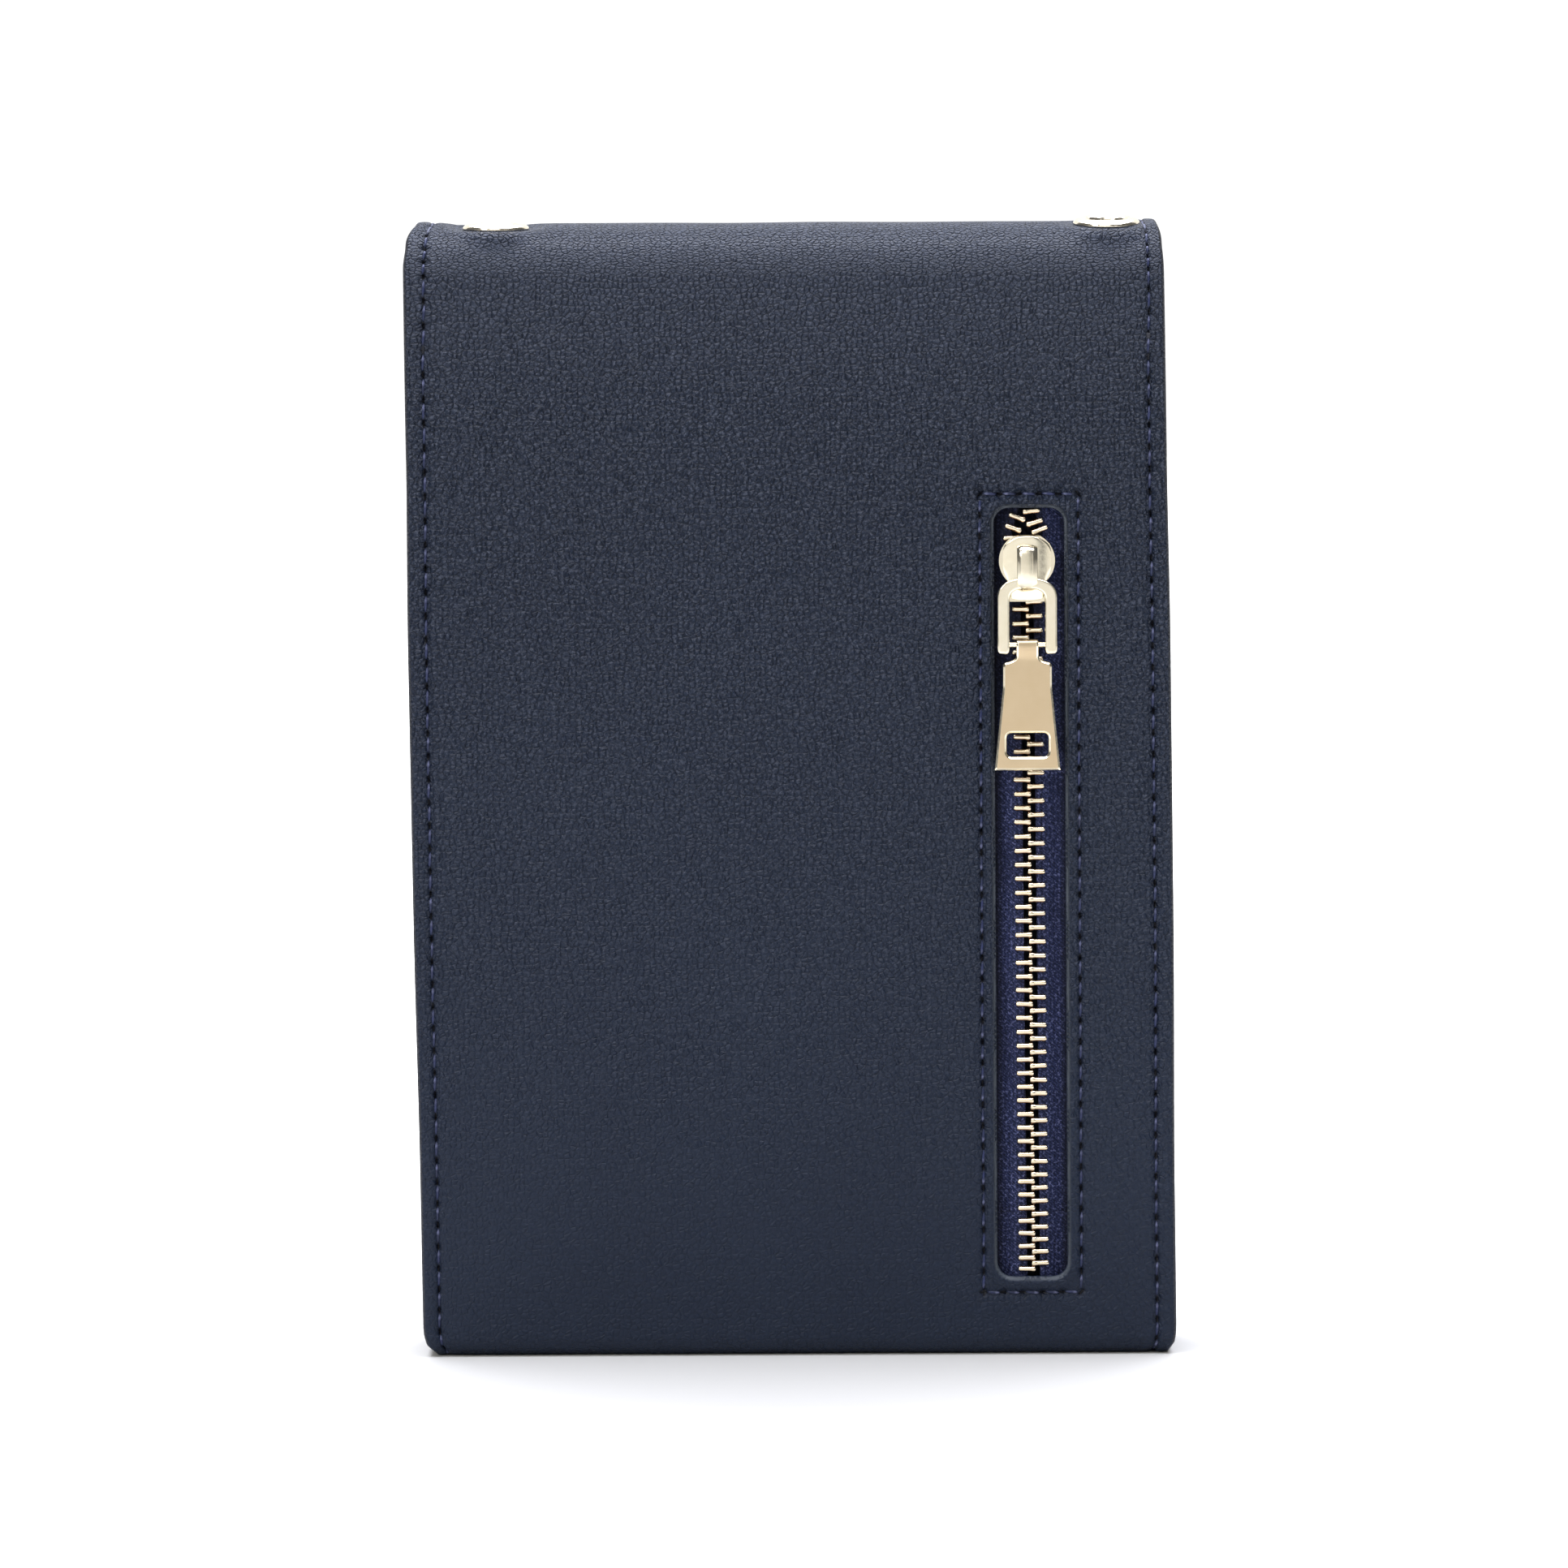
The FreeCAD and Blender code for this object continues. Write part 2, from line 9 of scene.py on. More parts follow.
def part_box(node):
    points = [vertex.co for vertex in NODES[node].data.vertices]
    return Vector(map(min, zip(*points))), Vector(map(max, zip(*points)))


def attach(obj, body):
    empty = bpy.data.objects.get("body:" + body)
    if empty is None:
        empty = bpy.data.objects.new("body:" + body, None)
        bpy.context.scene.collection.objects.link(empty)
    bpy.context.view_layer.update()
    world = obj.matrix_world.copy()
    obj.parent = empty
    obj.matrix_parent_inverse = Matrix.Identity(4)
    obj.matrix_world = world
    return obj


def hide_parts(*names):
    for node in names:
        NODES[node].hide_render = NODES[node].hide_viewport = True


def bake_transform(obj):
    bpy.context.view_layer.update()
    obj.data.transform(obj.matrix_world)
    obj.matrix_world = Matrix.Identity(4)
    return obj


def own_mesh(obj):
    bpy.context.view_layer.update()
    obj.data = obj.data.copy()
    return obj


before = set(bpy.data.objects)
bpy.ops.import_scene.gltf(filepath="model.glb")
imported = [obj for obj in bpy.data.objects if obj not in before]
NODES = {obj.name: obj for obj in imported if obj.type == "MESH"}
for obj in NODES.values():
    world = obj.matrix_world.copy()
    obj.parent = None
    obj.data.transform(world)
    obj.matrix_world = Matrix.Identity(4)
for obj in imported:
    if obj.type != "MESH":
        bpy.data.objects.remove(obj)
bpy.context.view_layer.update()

rng = np.random.default_rng(11)

# Lengths below are millimetres; meshes are scaled to metres as they are made.


def node_box(name):
    lo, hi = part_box(name)
    return np.array(lo) * 1000.0, np.array(hi) * 1000.0


# ---------------------------------------------------------------- sizes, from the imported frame
_bp = node_box("back_panel")
_fb = node_box("flap_bridge")
_fl = node_box("flap_leather")
HW = float(_bp[1][0])
YB, YF = float(_bp[0][1]), float(_fl[1][1])
H = 166.9
CASE_F = float(_bp[1][1])
FLAP_END = float(_fl[0][2])
T, RT, RB, LIP = 1.3, 7.5, 3.0, 9.0
ZT = H - RT
_wt = node_box("zip_window_thread")
SLOT_X = float(_wt[0][0] + _wt[1][0]) / 2
SLOT_HX, SLOT_Z0, SLOT_Z1, SLOT_R = 5.15, 11.7, 125.3, 2.2
WIN_HX, WIN_Z0, WIN_Z1, WIN_R = 7.2, 9.35, 127.35, 0.9
SEAM = 2.65
EYE = [(float(node_box(n)[0][0] + node_box(n)[1][0]) / 2) for n in ("eyelet_left", "eyelet_right")]
EYE_Y = -0.6
EYE_Z = (H - 0.78, H - 0.3)
EYE_TILT = (math.radians(1.5), math.radians(6.0))
SNAP_Z = 82.0


def smooth(a, b, x):
    t = np.clip((np.asarray(x, float) - a) / (b - a), 0.0, 1.0)
    return t * t * (3 - 2 * t)


def edge_drop(e, r):
    """How far a rounded edge falls away, at a distance e in from the edge."""
    q = np.clip(r - np.asarray(e, float), 0.0, r)
    return r - np.sqrt(np.maximum(r * r - q * q, 0.0))


def groove(d, w):
    return np.exp(-((np.asarray(d, float) / w) ** 2))


# ---------------------------------------------------------------- the leather's path round the case
SEGS = [
    ("line", (CASE_F, LIP), (CASE_F, RB)),
    ("arc", (CASE_F - RB, RB), RB, 0, -90),
    ("line", (CASE_F - RB, 0), (YB + RB, 0)),
    ("arc", (YB + RB, RB), RB, -90, -180),
    ("line", (YB, RB), (YB, ZT)),
    ("arc", (YB + RT, ZT), RT, 180, 90),
    ("line", (YB + RT, H), (YF - RT, H)),
    ("arc", (YF - RT, ZT), RT, 90, 0),
    ("line", (YF, ZT), (YF, FLAP_END)),
]


def seg_len(g):
    if g[0] == "line":
        return math.hypot(g[2][0] - g[1][0], g[2][1] - g[1][1])
    return abs(math.radians(g[4] - g[3])) * g[2]


S = np.concatenate([[0.0], np.cumsum([seg_len(g) for g in SEGS])])


def path(s):
    """Point and outward normal in the YZ plane, at a distance s along the outside of the leather."""
    s = np.asarray(s, float)
    y, z, ny, nz = (np.zeros_like(s) for _ in range(4))
    for i, g in enumerate(SEGS):
        m = (s >= S[i]) & (s <= S[i + 1]) if i < len(SEGS) - 1 else (s >= S[i])
        if i == 0:
            m = s <= S[1]
        t = s[m] - S[i]
        if g[0] == "line":
            dy, dz = (g[2][0] - g[1][0]) / seg_len(g), (g[2][1] - g[1][1]) / seg_len(g)
            y[m], z[m] = g[1][0] + dy * t, g[1][1] + dz * t
            ny[m], nz[m] = -dz, dy
        else:
            a = math.radians(g[3]) + np.sign(g[4] - g[3]) * t / g[2]
            y[m], z[m] = g[1][0] + g[2] * np.cos(a), g[1][1] + g[2] * np.sin(a)
            ny[m], nz[m] = np.cos(a), np.sin(a)
    return y, z, ny, nz


S_BACK, S_ROLL, S_TOP, S_FRONT, S_FLAP, S_END = S[4], S[5], S[6], S[7], S[8], S[9]
S_SPLIT = S_FRONT - 0.2
S_EYE = S_TOP + (EYE_Y - (YB + RT))


def s_back(z):
    return S_BACK + np.asarray(z, float) - RB


def lean(x, z):
    """The small sideways lean of the real case, strongest at its side edges."""
    x, z = np.asarray(x, float), np.asarray(z, float)
    w = 0.3 + 0.7 * smooth(47.5, 56.0, np.abs(x))
    near_eye = smooth(146.0, 156.0, z) * (1 - smooth(51.6, 54.0, np.abs(x)))
    full = smooth(25.0, 65.0, z) * (1 - smooth(104.0, 134.0, z)) * smooth(46.0, 56.0, np.abs(x))
    return -(z - 92.0) * 0.0108 * w * (1 - near_eye) + np.sign(x) * 0.26 * full


def narrow(x, s):
    """The strip is a little narrower where it rolls over the top and under the bottom."""
    x, s = np.asarray(x, float), np.asarray(s, float)
    top = smooth(S_ROLL + 2.0, S_ROLL + 9.0, s) * 0.42 + smooth(S_ROLL + 9.0, S_TOP + 4.0, s) * 1.35
    top = top * (1 - smooth(S_FRONT + 1.0, S_FLAP + 8.0, s))
    zc = path(s)[1]
    low = s < S_BACK + 6.0
    bot = np.where(low, smooth(4.2, 0.9, zc) * 0.45 + smooth(1.6, 0.0, zc) * 1.15, 0.0)
    side = np.where(x < 0, 0.85, 0.34)
    w = smooth(HW - 7.0, HW, np.abs(x))
    return -np.sign(x) * (top * side + bot * np.where(x < 0, 1.0, 0.55)) * w


_ph = rng.uniform(0, 6.28, (9, 2))
_fr = rng.uniform(0.10, 0.30, (9, 2))


def wobble(x, s):
    v = np.zeros(np.broadcast(x, s).shape)
    for (p, q), (a, b) in zip(_ph, _fr):
        v = v + np.sin(a * np.asarray(x) + p) * np.sin(b * np.asarray(s) + q)
    return v / 5.0


def rrect_sd(x, z, cx, cz, hx, hz, r):
    """Signed distance to a rounded rectangle, positive outside."""
    qx, qz = np.abs(x - cx) - (hx - r), np.abs(z - cz) - (hz - r)
    return np.hypot(np.maximum(qx, 0), np.maximum(qz, 0)) + np.minimum(np.maximum(qx, qz), 0) - r


def slot_sd(x, s):
    return rrect_sd(x, s - S_BACK + RB, SLOT_X, (SLOT_Z0 + SLOT_Z1) / 2, SLOT_HX, (SLOT_Z1 - SLOT_Z0) / 2, SLOT_R)


def win_sd(x, s):
    return rrect_sd(x, s - S_BACK + RB, SLOT_X, (WIN_Z0 + WIN_Z1) / 2, WIN_HX, (WIN_Z1 - WIN_Z0) / 2, WIN_R)


FLAP_R = 12.0


def flap_edge(x, s):
    """Distance in from the flap's outline, sides and rounded foot together."""
    cz = S_END - 200.0
    return -rrect_sd(np.asarray(x, float), np.asarray(s, float), 0.0, cz, HW, 200.0, FLAP_R)


def edge_in(x, s):
    """Distance in from the leather's outline."""
    x, s = np.asarray(x, float), np.asarray(s, float)
    return np.where(s > S_FLAP, flap_edge(x, s), np.minimum(HW - np.abs(x), np.where(s < 20, s, 99.0)))


def side_in(x, s):
    x, s = np.asarray(x, float), np.asarray(s, float)
    return np.where(s > S_FLAP, flap_edge(x, s), HW - np.abs(x))


def eye_fit(x, s):
    """Displacement that lays the leather against the eyelets' flanges, and its weight."""
    y, z, ny, nz = path(s)
    d, w = np.zeros_like(y), np.zeros_like(y)
    for ex, ez, et in zip(EYE, EYE_Z, EYE_TILT):
        r = np.hypot(x - ex, (s - S_EYE))
        seat = ez + (y - EYE_Y) * math.tan(et)
        dd = (seat - z) / np.maximum(nz, 0.6) - 0.04
        ww = 1 - smooth(5.0, 8.6, r)
        w = np.maximum(w, ww)
        d = d + dd * ww
    return np.clip(d, -2.6, 0.35), w


_ls = np.linspace(s_back(126.0), S_TOP + 6.0, 240)
_v = np.clip((_ls - S_ROLL) / (S_TOP + 6.0 - S_ROLL), 0, 1)
_arc = np.clip((_ls - S_ROLL) / RT, 0, math.pi / 2)
_pre = 0.165 * np.clip((_ls - _ls[0]) / (S_ROLL - _ls[0]), 0, 1) ** 1.5
_tot = _pre + (math.pi / 2 - 0.165) * (1 - (1 - _v) ** 1.165)
_lh = -np.concatenate([[0.0], np.cumsum(((_tot - _arc)[1:] + (_tot - _arc)[:-1]) / 2 * np.diff(_ls))])
_lh = _lh - _lh[-1] * smooth(S_ROLL, S_TOP + 6.0, _ls) + 0.10 * smooth(S_ROLL, S_TOP + 6.0, _ls)


def h_low(x, s):
    """Slow swells: the back leans in and rounds over gradually into the roll."""
    x, s = np.asarray(x, float), np.asarray(s, float)
    z = s - S_BACK + RB
    top = np.interp(s, np.concatenate([_ls, [S_FRONT, S_FLAP]]), np.concatenate([_lh, [0.08, 0.0]]))
    top = np.where(s > _ls[0], top, 0.0)
    back = (s > S_BACK) & (s <= S_ROLL)
    foot = -0.34 * np.where(back, smooth(13.0, 1.0, z), 0.0)
    kb = -0.34 * float(smooth(13.0, 1.0, RB))
    bend = (s > S[3]) & (s <= S_BACK)
    foot = foot + np.where(bend, kb * smooth(S[3], S_BACK + 1.5, s) / float(smooth(S[3], S_BACK + 1.5, S_BACK)), 0.0)
    e = side_in(x, s)
    flat = smooth(0.0, 12.0, e) * smooth(3.0, 14.0, slot_sd(x, s))
    front = smooth(S_FLAP, S_FLAP + 20, s)
    d, w = eye_fit(x, s)
    low = (top + foot) * (1 - w) + d + 0.07 * wobble(x, s) * flat * (1 - w)
    return low + front * 0.25 * smooth(0, 30, e)


def h_out(x, s):
    e = edge_in(x, s)
    es = side_in(x, s)
    h = h_low(x, s)
    h = h - edge_drop(e, 0.62) + 0.30 * (1 - smooth(2.0, 7.0, es)) * smooth(S_TOP - 5, S_TOP + 1, s) * (1 - smooth(S_FRONT, S_FRONT + 6, s))
    h = h - 0.24 * groove(es - SEAM, 0.42) - 0.10 * np.exp(-np.maximum(es - SEAM, 0) / 2.2) * (es > 0)
    h = h + 0.10 * np.clip(1 - ((es - 1.35) / 1.25) ** 2, 0, 1)
    d = slot_sd(x, s)
    back = (s > S_BACK) & (s < S_ROLL)
    w = win_sd(x, s)
    hs = -edge_drop(d, 0.52) + 0.22 * np.clip(1 - ((d - 1.05) / 1.0) ** 2, 0, 1) - 0.22 * groove(w, 0.42) - 0.05 * np.exp(-np.maximum(w, 0) / 1.5)
    return h + np.where(back & (d < 12), hs, 0.0)


def h_in(x, s):
    e = edge_in(x, s)
    h = h_low(x, s) - T + edge_drop(e, 0.5) - 0.08 * np.exp(-np.maximum(np.minimum(e, 40) - SEAM, 0) / 2.2)
    d = slot_sd(x, s)
    back = (s > S_BACK) & (s < S_ROLL)
    return h + np.where(back & (d < 12), edge_drop(d, 0.3), 0.0)


def place(x, s, h):
    y, z, ny, nz = path(s)
    zz = z + nz * h
    return np.stack([x + narrow(x, s) + lean(x, np.clip(z, 0, H)), y + ny * h, zz], 1)


# ---------------------------------------------------------------- mesh helpers
COLL = bpy.context.scene.collection


def add_object(name, verts, faces, mat, uv=None, attrs=None, sharp=None, mats=None, face_mat=None):
    me = bpy.data.meshes.new(name)
    me.from_pydata((np.asarray(verts, float) * 0.001).tolist(), [], [list(map(int, f)) for f in faces])
    if uv is not None:
        layer = me.uv_layers.new(name="grain")
        idx = np.zeros(len(me.loops), np.int32)
        me.loops.foreach_get("vertex_index", idx)
        layer.data.foreach_set("uv", (np.asarray(uv, float)[idx] * 0.01).astype(np.float32).ravel())
    for key, val in (attrs or {}).items():
        a = me.attributes.new(key, "FLOAT", "POINT")
        a.data.foreach_set("value", np.asarray(val, np.float32))
    me.validate()
    me.shade_smooth()
    for m in mats or [mat]:
        me.materials.append(m)
    if face_mat is not None:
        me.polygons.foreach_set("material_index", np.asarray(face_mat, np.int32))
    me.update()
    o = bpy.data.objects.new(name, me)
    COLL.objects.link(o)
    return o


def inside(P, loop):
    x, y = P[:, 0], P[:, 1]
    res = np.zeros(len(P), bool)
    a, b = loop, np.roll(loop, -1, axis=0)
    for (x0, y0), (x1, y1) in zip(a, b):
        if y0 == y1:
            continue
        c = ((y0 > y) != (y1 > y)) & (x < (x1 - x0) * (y - y0) / (y1 - y0) + x0)
        res ^= c
    return res


def poly_dist(P, loops):
    """Shortest distance from each point to the loops' edges."""
    d = np.full(len(P), 1e9)
    for loop in loops:
        a, b = loop, np.roll(loop, -1, axis=0)
        for p, q in zip(a, b):
            v = q - p
            L = float(v @ v)
            if L < 1e-12:
                continue
            t = np.clip(((P - p) @ v) / L, 0, 1)
            d = np.minimum(d, np.hypot(*(P - p - t[:, None] * v).T))
    return d


def area2(loop):
    a, b = loop, np.roll(loop, -1, axis=0)
    return float(np.sum(a[:, 0] * b[:, 1] - b[:, 0] * a[:, 1]))


def ccw(loop):
    loop = np.asarray(loop, float)
    return loop if area2(loop) > 0 else loop[::-1]


def resample(loop, step):
    """A closed loop with points no further apart than step, corners kept."""
    out = []
    loop = np.asarray(loop, float)
    for p, q in zip(loop, np.roll(loop, -1, axis=0)):
        n = max(1, int(math.ceil(np.hypot(*(q - p)) / step)))
        for i in range(n):
            out.append(p + (q - p) * i / n)
    return np.array(out)


def rrect(cx, cz, hx, hz, r, step=0.7):
    pts = []
    for sx, sz, a0 in ((1, 1, 0), (-1, 1, 90), (-1, -1, 180), (1, -1, 270)):
        n = max(3, int(math.ceil(r * math.pi / 2 / min(step, 0.35 + r * 0.08)))) if r > 0 else 0
        for i in range(n + 1):
            a = math.radians(a0 + 90.0 * i / max(n, 1))
            pts.append((cx + sx * (hx - r) + r * math.cos(a), cz + sz * (hz - r) + r * math.sin(a)))
    return ccw(resample(np.array(pts), step))


def offsets(loop, dists, step=None):
    """Points set in from a loop (or out, for a hole) at the given distances."""
    nxt, prv = np.roll(loop, -1, axis=0), np.roll(loop, 1, axis=0)
    t = nxt - prv
    n = np.stack([-t[:, 1], t[:, 0]], 1) / np.maximum(np.hypot(*t.T), 1e-9)[:, None]
    return [loop + n * d for d in dists]


def sheet(name, loops, pts, out, inn, mat, attrs=None, open_test=None, uv=None, mats=None, face_mat=None, keep=None):
    """A skin of real thickness over a flat outline: out and inn map flat points to each face."""
    loops = [ccw(l) if i == 0 else ccw(l)[::-1] for i, l in enumerate(loops)]
    P, E, n = [], [], 0
    for l in loops:
        P.append(l)
        E += [(n + i, n + (i + 1) % len(l)) for i in range(len(l))]
        n += len(l)
    if len(pts):
        P.append(np.asarray(pts, float))
    P = np.vstack(P)
    vs, _, fs, _, _, _ = delaunay_2d_cdt([Vector((float(a), float(b))) for a, b in P], E, [], 0, 1e-5, False)
    V = np.array([(v.x, v.y) for v in vs])
    F = np.array([list(f) for f in fs], int)
    C = V[F].mean(1)
    ok = inside(C, loops[0]) if keep is None else keep(C)
    for hole in loops[1:]:
        near = (C[:, 0] > hole[:, 0].min()) & (C[:, 0] < hole[:, 0].max()) & (C[:, 1] > hole[:, 1].min()) & (C[:, 1] < hole[:, 1].max())
        idx = np.where(near & ok)[0]
        ok[idx[inside(C[idx], hole)]] = False
    F = F[ok]
    A = V[F]
    cr = (A[:, 1, 0] - A[:, 0, 0]) * (A[:, 2, 1] - A[:, 0, 1]) - (A[:, 1, 1] - A[:, 0, 1]) * (A[:, 2, 0] - A[:, 0, 0])
    F = F[np.abs(cr) > 1e-9]
    cr = cr[np.abs(cr) > 1e-9]
    F[cr < 0] = F[cr < 0][:, ::-1]
    used = np.unique(F)
    remap = -np.ones(len(V), int)
    remap[used] = np.arange(len(used))
    V, F = V[used], remap[F]
    O, I = out(V), inn(V)
    N = len(V)
    k = len(F) // 2
    tri = O[F[:, [0, 1, 2]]]
    nrm = np.cross(tri[:, 1] - tri[:, 0], tri[:, 2] - tri[:, 0])
    mid = (O - I)[F].mean(1)
    flip = float(np.sum(nrm * mid)) < 0
    faces_o = F if not flip else F[:, ::-1]
    faces_i = (F[:, ::-1] if not flip else F) + N
    count = {}
    for f in faces_o:
        for a, b in ((f[0], f[1]), (f[1], f[2]), (f[2], f[0])):
            count[(a, b)] = count.get((a, b), 0) + 1
    walls = []
    for (a, b) in count:
        if (b, a) not in count:
            if open_test is not None and open_test((V[a] + V[b]) / 2):
                continue
            walls.append([b, a, a + N, b + N])
    faces = faces_o.tolist() + faces_i.tolist() + walls
    full = {}
    for key, f in (attrs or {}).items():
        val = f(V)
        full[key] = np.concatenate(val) if isinstance(val, tuple) else np.concatenate([val, val])
    U = V if uv is None else uv(V)
    fm = None
    if face_mat is not None:
        fm = [face_mat[0]] * len(faces_o) + [face_mat[1]] * len(faces_i) + [face_mat[2]] * len(walls)
    return add_object(name, np.vstack([O, I]), faces, mat, uv=np.vstack([U, U]), attrs=full, mats=mats, face_mat=fm)


def lathe(name, profile, origin, axis, mat, seg=72, uvs=True):
    """A closed ring turned from (radius, height) points."""
    axis = Vector(axis).normalized()
    rot = Vector((0, 0, 1)).rotation_difference(axis).to_matrix()
    verts, faces, uv = [], [], []
    n = len(profile)
    for i in range(seg):
        a = 2 * math.pi * i / seg
        for j, (r, hh) in enumerate(profile):
            v = rot @ Vector((r * math.cos(a), r * math.sin(a), hh)) + Vector(origin)
            verts.append(v[:])
            uv.append((a * 5.0, j))
    for i in range(seg):
        for j in range(n):
            a, b = i * n + j, i * n + (j + 1) % n
            c, d = ((i + 1) % seg) * n + (j + 1) % n, ((i + 1) % seg) * n + j
            if profile[j][0] < 1e-6 and profile[(j + 1) % n][0] < 1e-6:
                continue
            faces.append([a, d, c, b])
    return add_object(name, np.array(verts), faces, mat, uv=np.array(uv))


def rounded_profile(points, r, n=3):
    """Rounds the corners of a closed (radius, height) profile."""
    pts = [Vector(p) for p in points]
    out = []
    m = len(pts)
    for i in range(m):
        p, a, b = pts[i], pts[i - 1], pts[(i + 1) % m]
        if p.x < 1e-6:
            out.append(tuple(p))
            continue
        da, db = (a - p), (b - p)
        k = min(r, da.length * 0.45, db.length * 0.45)
        p0, p1 = p + da.normalized() * k, p + db.normalized() * k
        for t in range(n + 1):
            u = t / n
            q = p0 * (1 - u) ** 2 + p * 2 * u * (1 - u) + p1 * u * u
            out.append(tuple(q))
    return out


def tube(centre, radius, sides=8, squash=1.0, up=None):
    """Vertices and faces of a closed tube along a run of points, its ends pulled to a point."""
    centre = np.asarray(centre, float)
    n = len(centre)
    t = np.gradient(centre, axis=0)
    t /= np.maximum(np.linalg.norm(t, axis=1), 1e-9)[:, None]
    up = np.asarray(up, float)
    up = np.broadcast_to(up, centre.shape)
    b = np.cross(t, up)
    b /= np.maximum(np.linalg.norm(b, axis=1), 1e-9)[:, None]
    u = np.cross(b, t)
    radius = np.broadcast_to(radius, (n,))
    verts = [centre[0]]
    for i in range(n):
        for k in range(sides):
            a = 2 * math.pi * k / sides
            verts.append(centre[i] + radius[i] * (b[i] * math.cos(a) + u[i] * squash * math.sin(a)))
    verts.append(centre[-1])
    faces = []
    for k in range(sides):
        faces.append([0, 1 + (k + 1) % sides, 1 + k])
    for i in range(n - 1):
        for k in range(sides):
            a, c = 1 + i * sides + k, 1 + i * sides + (k + 1) % sides
            faces.append([a, c, c + sides, a + sides])
    last = len(verts) - 1
    base = 1 + (n - 1) * sides
    for k in range(sides):
        faces.append([last, base + k, base + (k + 1) % sides])
    return np.array(verts), faces


class Batch:
    """Many small closed shapes gathered in one mesh."""

    def __init__(self):
        self.v, self.f, self.u, self.n = [], [], [], 0

    def add(self, verts, faces, uv=None):
        self.v.append(verts)
        self.f += [[i + self.n for i in f] for f in faces]
        self.u.append(np.zeros((len(verts), 2)) if uv is None else uv)
        self.n += len(verts)

    def make(self, name, mat):
        return add_object(name, np.vstack(self.v), self.f, mat, uv=np.vstack(self.u))


# ---------------------------------------------------------------- materials
class Mat:
    def __init__(self, name):
        self.m = bpy.data.materials.new(name)
        self.m.use_nodes = True
        self.t = self.m.node_tree
        self.t.nodes.clear()
        self.out = self.t.nodes.new("ShaderNodeOutputMaterial")
        self.b = self.t.nodes.new("ShaderNodeBsdfPrincipled")
        self.t.links.new(self.b.outputs[0], self.out.inputs[0])

    def node(self, kind, props=None, **sockets):
        n = self.t.nodes.new(kind)
        for k, v in (props or {}).items():
            setattr(n, k, v)
        for k, v in sockets.items():
            self.put(n, k, v)
        return n

    def put(self, n, key, v):
        key = int(key[1:]) if isinstance(key, str) and key[0] == "_" and key[1:].isdigit() else key.replace("_", " ")
        s = n.inputs[key]
        if isinstance(v, bpy.types.NodeSocket):
            self.t.links.new(v, s)
        else:
            s.default_value = v

    def set(self, **sockets):
        for k, v in sockets.items():
            self.put(self.b, k, v)
        return self

    def uv(self, scale=(1, 1, 1)):
        u = self.node("ShaderNodeUVMap", {"uv_map": "grain"})
        mp = self.node("ShaderNodeMapping", Vector=u.outputs[0], Scale=scale)
        return mp.outputs[0]

    def obj(self, scale=(1, 1, 1)):
        u = self.node("ShaderNodeTexCoord")
        mp = self.node("ShaderNodeMapping", Vector=u.outputs["Object"], Scale=scale)
        return mp.outputs[0]

    def noise(self, vec, scale, detail=3.0, rough=0.5, dims="3D"):
        n = self.node("ShaderNodeTexNoise", {"noise_dimensions": dims}, Vector=vec, Scale=scale, Detail=detail, Roughness=rough)
        return n.outputs["Fac"] if "Fac" in n.outputs else n.outputs[0]

    def ramp(self, fac, stops, interp="LINEAR"):
        n = self.node("ShaderNodeValToRGB", Fac=fac)
        n.color_ramp.interpolation = interp
        el = n.color_ramp.elements
        while len(el) > len(stops):
            el.remove(el[-1])
        while len(el) < len(stops):
            el.new(1.0)
        for e, (p, c) in zip(el, stops):
            e.position = p
            e.color = c if len(c) == 4 else (*c, 1)
        return n.outputs[0]

    def rng(self, v, a, b, c, d):
        return self.node("ShaderNodeMapRange", _0=v, _1=a, _2=b, _3=c, _4=d).outputs[0]

    def math(self, op, a, b=0.0, clamp=False):
        return self.node("ShaderNodeMath", {"operation": op, "use_clamp": clamp}, _0=a, _1=b).outputs[0]

    def mix(self, f, a, b):
        n = self.node("ShaderNodeMix", {"data_type": "RGBA", "clamp_factor": True})
        self.put(n, "_0", f)
        self.put(n, "_6", a if isinstance(a, bpy.types.NodeSocket) else (*a, 1))
        self.put(n, "_7", b if isinstance(b, bpy.types.NodeSocket) else (*b, 1))
        return n.outputs[2]

    def attr(self, name):
        return self.node("ShaderNodeAttribute", {"attribute_name": name}).outputs["Fac"]

    def bump(self, h, dist, strength=1.0, normal=None):
        n = self.node("ShaderNodeBump", Height=h, Distance=dist, Strength=strength)
        if normal is not None:
            self.t.links.new(normal, n.inputs["Normal"])
        return n.outputs[0]


